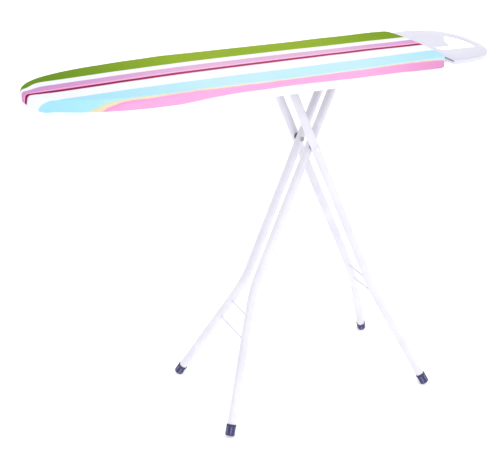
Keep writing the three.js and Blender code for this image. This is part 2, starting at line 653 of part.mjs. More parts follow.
// A plug in the end of the hinged top tube, bored for the hinge pin.
function hingeBushGeometry(side) {
  const bore = HINGE_PIN + GAP;
  const [inner, outer] = [INNER_TOP_HALF - PLUG_LENGTH, INNER_TOP_HALF + PLUG_FLANGE];
  const profile = [
    [bore, inner], [TUBE_BORE - GAP, inner], [TUBE_BORE - GAP, INNER_TOP_HALF + GAP],
    [TUBE_RADIUS, INNER_TOP_HALF + GAP], [TUBE_RADIUS, outer], [bore, outer], [bore, inner],
  ];
  return turnedY(forSide(profile, side), INNER_PIVOT_X, PIVOT_HEIGHT);
}

// A plug in the end of the sliding top tube, with the pin that runs in the guide rail.
function slidePinGeometry(side) {
  const inner = OUTER_TOP_HALF - PLUG_LENGTH;
  const flange = OUTER_TOP_HALF + GAP;
  const head = RAIL_Y + RAIL_SHEET + 1.5;
  const profile = [
    [0, inner], [TUBE_BORE - GAP, inner], [TUBE_BORE - GAP, flange],
    [TUBE_RADIUS - 0.5, flange], [TUBE_RADIUS - 0.5, flange + PLUG_FLANGE], [SLIDE_PIN, flange + PLUG_FLANGE],
    [SLIDE_PIN, head], [8.5, head], [8.5, head + 2], [6.5, head + 3.5], [0, head + 3.5],
  ];
  return turnedY(forSide(profile, side), OUTER_PIVOT_X, PIVOT_HEIGHT);
}

// ---- scissor pivots --------------------------------------------------------

function pivotRivetGeometry(side) {
  const inside = INNER.halfTop - TUBE_RADIUS - GAP;
  const outside = OUTER.halfTop + TUBE_RADIUS + GAP;
  const profile = [
    [0, inside - 3], [4.6, inside - 2.6], [6.5, inside - 1.2], [6.5, inside], [RIVET_RADIUS, inside],
    [RIVET_RADIUS, outside], [8, outside], [8, outside + 0.8], [6, outside + 2.4], [0, outside + 3.2],
  ];
  return turnedY(forSide(profile, side), CROSS_X, CROSS_Z);
}

function pivotSpacerGeometry(side) {
  const low = INNER.halfTop + TUBE_RADIUS + GAP;
  const high = OUTER.halfTop - TUBE_RADIUS - GAP;
  const bore = RIVET_RADIUS + GAP;
  const profile = [[bore, low], [9, low], [9, high], [bore, high], [bore, low]];
  return turnedY(forSide(profile, side), CROSS_X, CROSS_Z);
}

// ---- assembly --------------------------------------------------------------

function named(name, geometry, look) {
  const material = new THREE.MeshStandardMaterial({ ...look });
  const mesh = new THREE.Mesh(geometry, material);
  mesh.name = name;
  return mesh;
}

const SIDES = [['left', 1], ['right', -1]];

function boardTop() {
  const group = new THREE.Group();
  group.add(
    named('cover', coverGeometry(), FABRIC),
    named('foam_pad', prismZ(boardShape(RIM_INSET), PAD_BOTTOM, PAD_TOP), FOAM),
    named('top_plate', prismZ(boardShape(RIM_INSET), PLATE_BOTTOM, PLATE_TOP), WHITE_STEEL),
    named('rim', rimGeometry(), WHITE_STEEL));
  for (const [place, distance] of Object.entries(BARS)) {
    group.add(named(`cross_bar_${place}`, crossBarGeometry(distance, place === 'tail'), WHITE_STEEL));
  }
  return group;
}

function ironRest() {
  const group = new THREE.Group();
  group.add(named('iron_rest', ironRestGeometry(), WHITE_STEEL));
  for (const [hand, side] of SIDES) {
    group.add(
      named(`rest_arm_${hand}`, restArmGeometry(side), WHITE_STEEL),
      named(`rest_screw_${hand}`, screwGeometry(REST_SCREW_X, side * ARM_Y, REST_SKIN - 2), ZINC),
      named(`arm_screw_${hand}`, screwGeometry(ARM_SCREW_X, side * ARM_Y, BAR_BOTTOM + 4), ZINC));
  }
  return group;
}

function mechanism() {
  const group = new THREE.Group();
  group.add(
    named('hinge_bracket', hingeBracketGeometry(), WHITE_STEEL),
    named('hinge_pin', hingePinGeometry(), ZINC),
    named('lever_clip_front', leverClipGeometry(CATCH_START - 10), WHITE_STEEL),
    named('lever_clip_rear', leverClipGeometry(LEVER_X + LEVER_WIDTH / 2 + 13), WHITE_STEEL),
    named('lever_shaft', rodX(SHAFT_RADIUS, SHAFT_Y, SHAFT_Z, SHAFT_START, SHAFT_END), ZINC),
    named('catch_bar', catchBarGeometry(), ZINC),
    named('lever_arm', leverArmGeometry(), ZINC),
    named('lever_grip', leverGripGeometry(), DARK_PLASTIC),
    named('lever_spring', leverSpringGeometry(), ZINC));
  for (const [hand, side] of SIDES) {
    group.add(named(`guide_rail_${hand}`, guideRailGeometry(side), WHITE_STEEL));
  }
  return group;
}

function legFrame(label, frame, pivotX, topHalf) {
  const group = new THREE.Group();
  group.add(named(`${label}_top_tube`, topTubeGeometry(pivotX, topHalf), WHITE_STEEL));
  for (const [hand, side] of SIDES) {
    group.add(
      named(`${label}_leg_${hand}`, legGeometry(frame, side, pivotX), WHITE_STEEL),
      named(`${label}_foot_${hand}`, footGeometry(frame, side), INDIGO_RUBBER));
  }
  ['upper', 'lower'].forEach((place, i) => {
    group.add(named(`${label}_rod_${place}`, legRodGeometry(frame, frame.rods[i]), WHITE_STEEL));
  });
  return group;
}

function pivots() {
  const group = new THREE.Group();
  for (const [hand, side] of SIDES) {
    group.add(
      named(`hinge_bush_${hand}`, hingeBushGeometry(side), DARK_PLASTIC),
      named(`slide_pin_${hand}`, slidePinGeometry(side), DARK_PLASTIC),
      named(`pivot_rivet_${hand}`, pivotRivetGeometry(side), ZINC),
      named(`pivot_spacer_${hand}`, pivotSpacerGeometry(side), DARK_PLASTIC));
  }
  return group;
}

const ironingBoard = new THREE.Group();
ironingBoard.add(
  boardTop(),
  ironRest(),
  mechanism(),
  legFrame('inner', INNER, INNER_PIVOT_X, INNER_TOP_HALF),
  legFrame('outer', OUTER, OUTER_PIVOT_X, OUTER_TOP_HALF),
  pivots());

export default ironingBoard;
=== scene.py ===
"""The looks of a folding ironing board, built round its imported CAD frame.

Metres, in the frame of the CAD: +X from the nose to the iron rest, +Z up, floor at z = 0.
"""

import json
import math
from contextlib import contextmanager

import bmesh
import bpy
import numpy as np
from mathutils import Matrix, Vector, noise


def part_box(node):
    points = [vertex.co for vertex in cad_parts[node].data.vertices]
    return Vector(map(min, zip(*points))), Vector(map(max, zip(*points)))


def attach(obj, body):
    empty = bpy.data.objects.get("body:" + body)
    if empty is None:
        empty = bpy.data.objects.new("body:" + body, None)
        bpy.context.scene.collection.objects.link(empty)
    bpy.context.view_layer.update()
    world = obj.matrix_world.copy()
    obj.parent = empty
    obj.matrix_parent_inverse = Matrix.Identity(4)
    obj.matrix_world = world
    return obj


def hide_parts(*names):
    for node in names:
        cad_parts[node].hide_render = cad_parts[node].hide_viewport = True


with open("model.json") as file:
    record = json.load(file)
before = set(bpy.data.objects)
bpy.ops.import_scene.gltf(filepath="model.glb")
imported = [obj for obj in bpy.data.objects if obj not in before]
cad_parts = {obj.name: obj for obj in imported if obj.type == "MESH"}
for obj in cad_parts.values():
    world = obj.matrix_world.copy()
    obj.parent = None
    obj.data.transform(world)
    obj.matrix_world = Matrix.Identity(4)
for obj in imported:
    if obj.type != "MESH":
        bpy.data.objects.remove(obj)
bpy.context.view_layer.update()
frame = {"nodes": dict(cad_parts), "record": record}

MM = 0.001


# ---- camera ----


CAMERA_TURN = (-26.58, 24.89, 1.02)          # azimuth, elevation and roll in degrees
CAMERA_TARGET = Vector((-0.0363, 0, 0.5022))
CAMERA_DISTANCE = 2.873
LENS = 79.4                                  # in mm, on a sensor 36 mm wide


def placed(name, data):
    """A new object in the scene."""
    thing = bpy.data.objects.new(name, data)
    bpy.context.scene.collection.objects.link(thing)
    return thing


def make_camera():
    azimuth, elevation, roll = (math.radians(a) for a in CAMERA_TURN)
    back = Vector((
        math.sin(azimuth) * math.cos(elevation),
        -math.cos(azimuth) * math.cos(elevation),
        math.sin(elevation)))
    level = Vector((math.cos(azimuth), math.sin(azimuth), 0))
    upright = level.cross(-back)
    right = math.cos(roll) * level + math.sin(roll) * upright
    up = math.cos(roll) * upright - math.sin(roll) * level
    data = bpy.data.cameras.new("camera")
    data.lens = LENS
    data.sensor_width = 36
    camera = placed("camera", data)
    turn = Matrix((right, up, back)).transposed().to_4x4()
    camera.matrix_world = Matrix.Translation(CAMERA_TARGET + CAMERA_DISTANCE * back) @ turn
    bpy.context.scene.camera = camera


make_camera()


# ---- sizes read from the frame ----

COVER_LOW, COVER_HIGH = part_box("cover")
TOP_Z = COVER_HIGH.z
NOSE_X = COVER_LOW.x
TAIL_X = COVER_HIGH.x
LENGTH = TAIL_X - NOSE_X
TUBE_LOW, TUBE_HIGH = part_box("inner_top_tube")
TUBE_RADIUS = (TUBE_HIGH.z - TUBE_LOW.z) / 2


# ---- material helpers ----


def srgb(red, green, blue):
    """A linear colour from 0 to 255 display values."""
    def linear(value):
        value /= 255
        return value / 12.92 if value <= 0.04045 else ((value + 0.055) / 1.055) ** 2.4
    return (linear(red), linear(green), linear(blue), 1)


class Nodes:
    """Short calls for building one material's node tree."""

    def __init__(self, name):
        self.material = bpy.data.materials.new(name)
        self.material.use_nodes = True
        self.tree = self.material.node_tree
        self.shader = self.tree.nodes["Principled BSDF"]

    def feed(self, node, values):
        """Sets or links inputs of a node, from {name or number of the input: value or socket}."""
        for key, value in values.items():
            if isinstance(value, (int, float, tuple)):
                node.inputs[key].default_value = value
            elif value is not None:
                self.tree.links.new(value, node.inputs[key])

    def add(self, kind, inputs=None, **settings):
        node = self.tree.nodes.new(kind)
        for key, value in settings.items():
            setattr(node, key, value)
        self.feed(node, inputs or {})
        return node

    def math(self, operation, *values):
        return self.add("ShaderNodeMath", dict(enumerate(values)), operation=operation).outputs[0]

    def points(self, scale=(1, 1, 1)):
        place = self.add("ShaderNodeTexCoord").outputs["Object"]
        return self.add("ShaderNodeMapping", {"Vector": place, "Scale": scale}).outputs[0]

    def parts(self, vector):
        """The x, y and z sockets of a vector."""
        return self.add("ShaderNodeSeparateXYZ", {0: vector}).outputs

    def noise(self, vector, scale, detail=4, roughness=0.55):
        values = {"Vector": vector, "Scale": scale, "Detail": detail, "Roughness": roughness}
        return self.add("ShaderNodeTexNoise", values).outputs["Fac"]

    def ramp(self, factor, *stops):
        """Maps factor through (position, colour) stops."""
        node = self.add("ShaderNodeValToRGB", {"Fac": factor})
        elements = node.color_ramp.elements
        while len(elements) < len(stops):
            elements.new(1)
        for element, (position, _) in zip(elements, stops):
            element.position = position
        for element, (_, colour) in zip(elements, stops):
            element.color = colour if len(colour) == 4 else (*colour, 1)
        return node.outputs["Color"]

    def fade(self, value, start, end):
        """0 at start, 1 at end, held outside them."""
        return self.add("ShaderNodeMapRange", {"Value": value, "From Min": start, "From Max": end}).outputs[0]

    def grey(self, factor, low, high, start=0.3, end=0.7):
        return self.ramp(factor, (start, (low,) * 3), (end, (high,) * 3))

    def mix(self, factor, first, second, blend="MIX"):
        values = {0: factor, 6: first, 7: second}
        return self.add("ShaderNodeMix", values, data_type="RGBA", blend_type=blend).outputs[2]

    def bump(self, height, distance, strength=1.0, normal=None):
        values = {"Height": height, "Distance": distance, "Strength": strength, "Normal": normal}
        return self.add("ShaderNodeBump", values).outputs["Normal"]

    def finish(self, colour, roughness, normal=None, **constants):
        self.feed(self.shader, {"Base Color": colour, "Roughness": roughness, "Normal": normal})
        self.feed(self.shader, {name.replace("_", " "): value for name, value in constants.items()})
        return self.material


# ---- materials ----

WHITE_PRINT = srgb(253, 253, 251)
LEAF = srgb(148, 178, 40)
PRINT_EDGE = 0.0006          # soft edge of the dye
THREAD_PITCH = 0.00045
TOP_START = (-0.152, -0.146)  # where the side print ends and the top print begins
# Stripes from the hem on the near side to the hem on the far side: colour, and where it ends,
# in metres across the flat cloth from its middle line.
STRIPES = [
    (WHITE_PRINT, -0.1635),
    (srgb(245, 172, 220), -0.1475),
    (srgb(242, 232, 200), -0.1456),
    (srgb(200, 240, 250), -0.0760),
    (WHITE_PRINT, -0.0170),
    (srgb(255, 196, 222), -0.0135),
    (srgb(172, 58, 102), 0.0016),
    (srgb(255, 196, 230), 0.0125),
    (srgb(230, 184, 222), 0.0425),
    (WHITE_PRINT, 0.0735),
    (LEAF, None),
]


def weave(nodes, uv, pitch):
    """Plain weave: warp and weft threads that pass over and under each other."""
    waves = math.tau / (2 * pitch)
    warp, weft = (nodes.math("SINE", nodes.math("MULTIPLY", way, waves)) for way in nodes.parts(uv)[:2])
    bodies = nodes.math("MAXIMUM", nodes.math("ABSOLUTE", warp), nodes.math("ABSOLUTE", weft))
    return nodes.math("MULTIPLY_ADD", nodes.math("MULTIPLY", warp, weft), 0.5, bodies)


def shade_darkened(nodes, dye, amount):
    """Painted shade: the colour darker by amount, 0 to 1, and a little cooler."""
    power = nodes.math("MULTIPLY_ADD", amount, 0.55, 1.0)
    gamma_shaded = nodes.add("ShaderNodeGamma", {"Color": dye, "Gamma": power}).outputs[0]
    return nodes.mix(amount, gamma_shaded, (0.92, 0.95, 1.0, 1), "MULTIPLY")


def printed_cotton():
    nodes = Nodes("printed_cotton")
    uv = nodes.add("ShaderNodeUVMap", uv_map="cloth").outputs[0]
    along, across = nodes.parts(uv)[:2]
    wander = nodes.math("MULTIPLY", nodes.math("SUBTRACT", nodes.noise(uv, 14, 3), 0.5), 0.0028)
    bleed = nodes.math("MULTIPLY", nodes.math("SUBTRACT", nodes.noise(uv, 900, 2), 0.5), 0.0011)
    across = nodes.math("ADD", across, nodes.math("ADD", wander, bleed))
    dye = STRIPES[0][0]
    for (_, edge), (colour, _) in zip(STRIPES, STRIPES[1:]):
        dye = nodes.mix(nodes.fade(across, edge - PRINT_EDGE, edge + PRINT_EDGE), dye, colour)
    top = nodes.fade(across, *TOP_START)
    side = nodes.fade(across, *reversed(TOP_START))
    # painted shade: the top darker and cooler towards the nose, and the whole cloth towards the tail
    nose = nodes.math("MULTIPLY", nodes.fade(along, NOSE_X + 0.42, NOSE_X + 0.08), top)
    tail = nodes.math("MULTIPLY", nodes.fade(along, TAIL_X - 0.25, TAIL_X), 0.6)
    dye = shade_darkened(nodes, dye, nodes.math("MAXIMUM", nose, tail))
    # painted shade: the side darker again towards the tail
    tail_side_shade = nodes.math("MULTIPLY", nodes.fade(along, TAIL_X - 0.25, TAIL_X - 0.02), side)
    dye = nodes.mix(tail_side_shade, dye, (0.86, 0.96, 0.86, 1), "MULTIPLY")
    tail_end = nodes.math("MULTIPLY", nodes.fade(along, TAIL_X + 0.003, TAIL_X + 0.006), top)
    dye = nodes.mix(tail_end, dye, WHITE_PRINT)
    threads = weave(nodes, uv, THREAD_PITCH)
    slub = nodes.noise(uv, 420, 3, 0.7)
    cloudy = nodes.grey(nodes.noise(uv, 9, 5, 0.6), 0.965, 1.0)
    woven = nodes.grey(threads, 0.955, 1.0, 0.1, 1.1)
    for shade in (cloudy, woven, nodes.grey(slub, 0.975, 1.0, 0.35, 0.65)):
        dye = nodes.mix(1.0, dye, shade, "MULTIPLY")
    soft = nodes.bump(nodes.noise(uv, 46, 4, 0.5), 0.0006, 0.35)
    fine = nodes.bump(nodes.math("ADD", threads, slub), 0.00012, 0.5, soft)
    roughness = nodes.grey(slub, 0.8, 0.94)
    return nodes.finish(dye, roughness, fine, Sheen_Weight=0.03, Sheen_Roughness=0.5, IOR=1.45,
                        Specular_IOR_Level=0.1)


def thread():
    nodes = Nodes("sewing_thread")
    fibre = nodes.noise(nodes.points(), 2600, 3)
    colour = nodes.ramp(fibre, (0.3, srgb(226, 222, 226)), (0.7, srgb(250, 249, 250)))
    return nodes.finish(colour, 0.8, nodes.bump(fibre, 0.0001, 0.6), Sheen_Weight=0.2)


def foam():
    nodes = Nodes("foam")
    points = nodes.points()
    cells = nodes.add("ShaderNodeTexVoronoi", {"Vector": points, "Scale": 620}).outputs["Distance"]
    colour = nodes.mix(nodes.grey(cells, 0, 1, 0.05, 0.5), srgb(214, 208, 196), srgb(240, 237, 228))
    colour = nodes.mix(nodes.grey(nodes.noise(points, 18), 0, 0.5), colour, srgb(232, 226, 208))
    return nodes.finish(colour, 0.95, nodes.bump(cells, 0.0005, 0.8), Sheen_Weight=0.1)


def powder_coat(name="white_powder_coat", tint=(233, 231, 240), shade=(221, 219, 230)):
    """Baked powder paint: orange peel, faint cloudiness, small scuffs and a few dull handling marks."""
    nodes = Nodes(name)
    points = nodes.points()
    peel = nodes.noise(points, 520, 2, 0.4)
    cloud = nodes.noise(points, 11, 4)
    scuff = nodes.grey(nodes.noise(nodes.points((1, 1, 0.35)), 160, 6, 0.75), 0, 1, 0.66, 0.76)
    rare = nodes.grey(nodes.noise(points, 6, 2), 0, 1, 0.55, 0.72)
    marks = nodes.math("MULTIPLY", nodes.math("MULTIPLY", scuff, rare), 0.35)
    colour = nodes.mix(nodes.grey(cloud, 0, 1), srgb(*shade), srgb(*tint))
    colour = nodes.mix(marks, colour, srgb(176, 174, 182))
    roughness = nodes.math("ADD", nodes.grey(cloud, 0.34, 0.46), nodes.math("MULTIPLY", marks, 0.5))
    grain = nodes.bump(peel, 0.0004, 0.35)
    return nodes.finish(colour, roughness, nodes.bump(marks, 0.0002, 0.5, grain), IOR=1.5,
                        Coat_Weight=0.15, Coat_Roughness=0.25)


def weld_paint():
    """Powder coat over a weld bead: the same paint, with ripples and a little grime."""
    nodes = Nodes("painted_weld")
    points = nodes.points()
    lumps = nodes.noise(points, 380, 3)
    grime = nodes.noise(points, 60, 5, 0.7)
    colour = nodes.mix(nodes.grey(grime, 0, 0.8, 0.35, 0.75), srgb(238, 237, 246), srgb(206, 204, 212))
    return nodes.finish(colour, nodes.grey(grime, 0.4, 0.6), nodes.bump(lumps, 0.0008, 0.6), IOR=1.5)


def zinc():
    """Zinc-plated steel: fine drawn lines, a cloudy passivated film and dull spots."""
    nodes = Nodes("zinc_plate")
    points = nodes.points()
    drawn = nodes.noise(nodes.points((0.06, 1, 1)), 900, 3, 0.6)
    cloud = nodes.noise(points, 45, 5, 0.65)
    colour = nodes.mix(nodes.grey(cloud, 0, 1), srgb(168, 169, 172), srgb(206, 205, 198))
    spots = nodes.grey(nodes.noise(points, 130, 4), 0, 0.5, 0.55, 0.75)
    colour = nodes.mix(spots, colour, srgb(132, 130, 128))
    roughness = nodes.math("ADD", nodes.grey(cloud, 0.26, 0.42), nodes.math("MULTIPLY", drawn, 0.1))
    return nodes.finish(colour, roughness, nodes.bump(drawn, 0.0001, 0.5), Metallic=1.0)


def dark_plastic(name="dark_plastic", shade=(48, 47, 58), tint=(66, 65, 78)):
    nodes = Nodes(name)
    points = nodes.points()
    grain = nodes.noise(points, 1500, 3, 0.6)
    worn = nodes.noise(points, 70, 5, 0.7)
    colour = nodes.mix(nodes.grey(worn, 0, 1), srgb(*shade), srgb(*tint))
    return nodes.finish(colour, nodes.grey(worn, 0.46, 0.62), nodes.bump(grain, 0.0002, 0.6), IOR=1.46)


def foot_rubber():
    """Indigo rubber: painted highlight on the crests of the ribs, painted shade in the valleys, random wear,
    and paler towards the floor.
    """
    nodes = Nodes("foot_rubber")
    points = nodes.points()
    crest = nodes.add("ShaderNodeAttribute", attribute_name="crest").outputs["Fac"]
    worn = nodes.noise(points, 240, 5, 0.7)
    # painted highlight on the rib crests and painted shade in their valleys
    colour = nodes.ramp(crest, (0.0, srgb(40, 37, 74)), (0.5, srgb(58, 56, 98)), (1.0, srgb(100, 102, 148)))
    colour = nodes.mix(nodes.grey(worn, 0, 0.22, 0.45, 0.75), colour, srgb(130, 130, 162))
    # paler towards the floor
    paler_low = nodes.grey(nodes.parts(points)[2], 0.55, 0.0, 0.0, 0.012)
    colour = nodes.mix(paler_low, colour, srgb(128, 124, 150))
    return nodes.finish(colour, nodes.grey(worn, 0.55, 0.78), nodes.bump(worn, 0.0003, 0.5), IOR=1.5)


def studio_floor():
    nodes = Nodes("studio_floor")
    cloud = nodes.noise(nodes.points(), 0.8, 3)
    colour = nodes.mix(nodes.grey(cloud, 0, 1), (0.93, 0.93, 0.935, 1), (0.95, 0.95, 0.955, 1))
    return nodes.finish(colour, 0.9, Specular_IOR_Level=0.1, Emission_Color=(1, 1, 1, 1),
                        Emission_Strength=0.3)


# ---- mesh helpers ----


def add_object(name, mesh, material, body, replaces=()):
    piece = placed(name, mesh)
    mesh.name = name
    mesh.materials.clear()
    mesh.materials.append(material)
    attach(piece, body)
    if replaces:
        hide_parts(*replaces)
    return piece


def modify(piece, name, kind, **settings):
    modifier = piece.modifiers.new(name, kind)
    for key, value in settings.items():
        setattr(modifier, key, value)


@contextmanager
def editing(mesh):
    """The mesh as a bmesh, written back at the end."""
    bm = bmesh.new()
    bm.from_mesh(mesh)
    yield bm
    bm.to_mesh(mesh)
    bm.free()


def smooth_all(mesh):
    for polygon in mesh.polygons:
        polygon.use_smooth = True


def mesh_of(points, faces):
    mesh = bpy.data.meshes.new("mesh")
    mesh.from_pydata([tuple(p) for p in points], [], [tuple(f) for f in faces])
    mesh.validate()
    with editing(mesh) as bm:
        bmesh.ops.recalc_face_normals(bm, faces=bm.faces)
    smooth_all(mesh)
    return mesh


def corners(mesh):
    return np.array([v.co for v in mesh.vertices])


def sharpen(mesh, degrees):
    """Marks edges that turn more than this as sharp, so that flats stay flat."""
    mesh.set_sharp_from_angle(angle=math.radians(degrees))


def mesh_from(bm):
    mesh = bpy.data.meshes.new("mesh")
    bm.to_mesh(mesh)
    bm.free()
    return mesh


def join_meshes(meshes):
    bm = bmesh.new()
    for mesh in meshes:
        bm.from_mesh(mesh)
        bpy.data.meshes.remove(mesh)
    return mesh_from(bm)


def grid_faces(rows, columns, closed_columns=True, closed_rows=False):
    faces = []
    for i in range(rows if closed_rows else rows - 1):
        for j in range(columns if closed_columns else columns - 1):
            k, after = (i + 1) % rows, (j + 1) % columns
            faces.append((i * columns + j, i * columns + after, k * columns + after, k * columns + j))
    return faces


def bridge(bm, first, second):
    """Faces between two closed rings of as many points."""
    for k in range(len(first)):
        after = (k + 1) % len(first)
        bm.faces.new((first[k], first[after], second[after], second[k]))


def circle(centre, side, other, radius, count):
    """Points round centre, in the plane of two unit vectors."""
    angles = [math.tau * j / count for j in range(count)]
    return [centre + radius * (math.cos(angle) * side + math.sin(angle) * other) for angle in angles]


def sweep(path, radius, sides, closed=False):
    """A round tube along path. radius is one number or one per point. Open ends get caps."""
    path = [Vector(p) for p in path]
    count = len(path)
    radii = radius if hasattr(radius, "__len__") else [radius] * count
    tangents = []
    for i in range(count):
        before = path[(i - 1) % count] if closed or i > 0 else path[0]
        after = path[(i + 1) % count] if closed or i < count - 1 else path[-1]
        tangents.append((after - before).normalized())
    side = tangents[0].orthogonal().normalized()
    points = []
    for place, tangent, size in zip(path, tangents, radii):
        side = (side - tangent * side.dot(tangent)).normalized()
        points += circle(place, side, tangent.cross(side), size, sides)
    faces = grid_faces(count, sides, closed_rows=closed)
    if not closed:
        faces.append(tuple(range(sides)))
        faces.append(tuple(range((count - 1) * sides, count * sides)))
    mesh = mesh_of(points, faces)
    sharpen(mesh, 60)
    return mesh


def turned(profile, origin, axis, sides=32):
    """Turns a closed or axis-to-axis list of (radius, height) about an axis."""
    axis = Vector(axis).normalized()
    side = axis.orthogonal().normalized()
    other = axis.cross(side)
    points = []
    for radius, height in profile:
        points += circle(Vector(origin) + axis * height, side, other, max(radius, 1e-6), sides)
    mesh = mesh_of(points, grid_faces(len(profile), sides))
    with editing(mesh) as bm:
        bmesh.ops.remove_doubles(bm, verts=bm.verts, dist=2e-6)
    sharpen(mesh, 40)
    return mesh


# ---- outlines ----


def level_loops(node, height):
    """Boundary loops, as (x, y), of a CAD node's flat faces at this height. The longest comes first."""
    bm = bmesh.new()
    bm.from_mesh(frame["nodes"][node].data)
    bmesh.ops.remove_doubles(bm, verts=bm.verts, dist=1e-5)
    flat = {f for f in bm.faces if all(abs(v.co.z - height) < 1e-4 for v in f.verts)}
    ends = {}
    for edge in bm.edges:
        if sum(face in flat for face in edge.link_faces) == 1:
            first, second = edge.verts
            ends.setdefault(first, []).append(second)
            ends.setdefault(second, []).append(first)
    loops, left = [], set(ends)
    while left:
        start = min(left, key=lambda v: (v.co.x, v.co.y))
        loop, here = [], start
        while here is not None:
            loop.append(Vector((here.co.x, here.co.y)))
            left.discard(here)
            here = next((v for v in ends[here] if v in left), None)
        loops.append(loop)
    bm.free()
    length = lambda loop: sum((a - b).length for a, b in zip(loop, loop[1:] + loop[:1]))
    return sorted(loops, key=length, reverse=True)


def straight_points_removed(loop):
    """Drops points that lie on a straight line between their neighbours."""
    kept = []
    for i, point in enumerate(loop):
        into = point - loop[i - 1]
        out = loop[(i + 1) % len(loop)] - point
        if into.length > 1e-6 and (into.normalized() - out.normalized()).length > 1e-4:
            kept.append(point)
    return kept


def spline(loop, step, sharp, rounding):
    """A closed centripetal curve through loop, in even steps. Corners over sharp degrees stay corners,
    and rounding is the number of smoothing passes that then soften them."""
    count = len(loop)
    turn = [
        math.degrees((loop[i] - loop[i - 1]).angle(loop[(i + 1) % count] - loop[i])) for i in range(count)]
    dense = []
    for i in range(count):
        p1, p2 = loop[i], loop[(i + 1) % count]
        p0 = loop[i - 1] if turn[i] < sharp else 2 * p1 - p2
        p3 = loop[(i + 2) % count] if turn[(i + 1) % count] < sharp else 2 * p2 - p1
        times = [0.0]
        for a, b in ((p0, p1), (p1, p2), (p2, p3)):
            times.append(times[-1] + max((b - a).length, 1e-6) ** 0.5)
        t0, t1, t2, t3 = times
        pieces = max(4, int((p2 - p1).length / (step * 0.25)))
        for k in range(pieces):
            t = t1 + (t2 - t1) * k / pieces
            a1 = p0.lerp(p1, (t - t0) / (t1 - t0))
            a2 = p1.lerp(p2, (t - t1) / (t2 - t1))
            a3 = p2.lerp(p3, (t - t2) / (t3 - t2))
            b1 = a1.lerp(a2, (t - t0) / (t2 - t0))
            b2 = a2.lerp(a3, (t - t1) / (t3 - t1))
            dense.append(b1.lerp(b2, (t - t1) / (t2 - t1)))
    line = np.array([tuple(p) for p in dense + dense[:1]])
    along = distances_along(line)
    total = 2 * max(1, round(along[-1] / step / 2))
    even = np.linspace(0, along[-1], total + 1)[:-1]
    points = np.stack([np.interp(even, along, line[:, 0]), np.interp(even, along, line[:, 1])], 1)
    for _ in range(rounding):
        points = (np.roll(points, 1, 0) + 2 * points + np.roll(points, -1, 0)) / 4
    return points


def smooth_outline(node, height, step, sharp=60, rounding=0, number=0):
    """A node's longest loop at this height, or one further down the list, as a spline."""
    return spline(straight_points_removed(level_loops(node, height)[number]), step, sharp, rounding)


def outward(points):
    """Unit normals that point out of a closed loop of (x, y)."""
    along = np.roll(points, -1, 0) - np.roll(points, 1, 0)
    normals = np.stack([along[:, 1], -along[:, 0]], 1)
    normals /= np.linalg.norm(normals, axis=1, keepdims=True)
    x, y = points[:, 0], points[:, 1]
    area = np.sum(x * np.roll(y, -1) - np.roll(x, -1) * y)
    return normals if area > 0 else -normals


def lumps(x, y, z):
    """Smooth noise between -1 and 1."""
    return noise.noise(Vector((x, y, z)))


def middle_line(points, low, high):
    """For each point of a board's outline, the point of the board's middle line that faces it."""
    return np.stack([np.clip(points[:, 0], low.x + 0.10, high.x - 0.13), 0 * points[:, 1]], 1)


def distances_along(line):
    """Length along a line of points up to each of them."""
    return np.concatenate([[0], np.cumsum(np.linalg.norm(np.diff(line, axis=0), axis=1))])


# ---- the striped cover ----

COVER_STEP = 6.8 * MM
HEM_FOLD = 2 * MM            # radius of the fold at the foot of the side
CLOTH = 0.7 * MM


def smoothstep(value, low, high):
    share = np.clip((value - low) / (high - low), 0, 1)
    return share * share * (3 - 2 * share)


# How far the edges of the blue, the yellow and the pink stripe are pulled towards the far side, in mm
# against distance from the nose in m.
SKY_PULL = ((0, -44), (0.0055, -38.5), (0.014, -29), (0.021, -22), (0.027, -14.5), (0.032, -12), (0.039, -7),
            (0.044, -6), (0.048, -7), (0.056, -10), (0.11, -8), (0.17, -5), (0.22, -1.5), (0.32, 0))
SUN_PULL = ((0, 6), (0.09, 9.7), (0.112, 11.5), (0.127, 12.3), (0.14, 16.3), (0.17, 15.7), (0.19, 12.6),
            (0.20, 11), (0.23, 9.5), (0.30, 8.5), (0.34, 10), (0.376, 10.5), (0.47, 4), (0.6, 0.5),
            (0.8, 0.3), (0.95, 5))
ROSE_PULL = ((0, -8), (0.125, -8), (0.139, -5.7), (0.151, 3.1), (0.163, 4.1), (0.184, 7.6), (0.20, 6.6),
             (0.225, 4.8), (0.248, 2), (0.273, 1.5), (0.322, 3.3), (0.372, 2.3), (0.5, 0), (0.8, 0),
             (0.95, 3))


def print_place(distance, across):
    """Where on the flat print a point of the fitted cover lies. The cloth is pulled round the nose
    and the tail, so the stripes wander there."""
    fades = lambda reach, power=2: math.exp(-(max(distance, 0) / reach) ** power)
    left = LENGTH - distance
    far = -23 * fades(0.26) - 12 * math.exp(-(left / 0.33) ** 2)
    centre = -23 * fades(0.26) - 9 * math.exp(-(left / 0.15) ** 2)
    sky, sun, rose = (float(np.interp(distance, *zip(*pull))) for pull in (SKY_PULL, SUN_PULL, ROSE_PULL))
    hem = float(-8 * (1 - smoothstep(distance, 0.30, 0.46)) - 3.5 * smoothstep(distance, 0.62, 0.78))
    pulls = [(-0.25, hem), (-0.1635, hem), (-0.1475, rose), (-0.1456, sun), (-0.076, sky),
             (-0.005, centre), (0.043, far), (0.25, far)]
    place = np.interp(across, [edge + pull * MM for edge, pull in pulls], [edge for edge, _ in pulls])
    return place * (1 + 0.9 * fades(0.028))


def looseness(distance):
    """How loose the side hangs: 1 along the middle, 0 towards the nose and the tail."""
    return smoothstep(distance, 0.32, 0.47) * (1 - smoothstep(distance, 0.93, 1.02))


def side_depth(distance):
    """Height of the covered side: drawn up at the nose and the tail, loose between."""
    tip = np.exp(-(np.maximum(distance, 0) / 0.012) ** 2)
    cheek = np.exp(-((distance - 0.028) / 0.018) ** 2)
    return (30.0 + 11 * looseness(distance) - 7 * tip + 4 * cheek) * MM


def tuck_depth(distance):
    """How far the hem is turned under."""
    return 15 * MM - 10 * MM * looseness(distance)


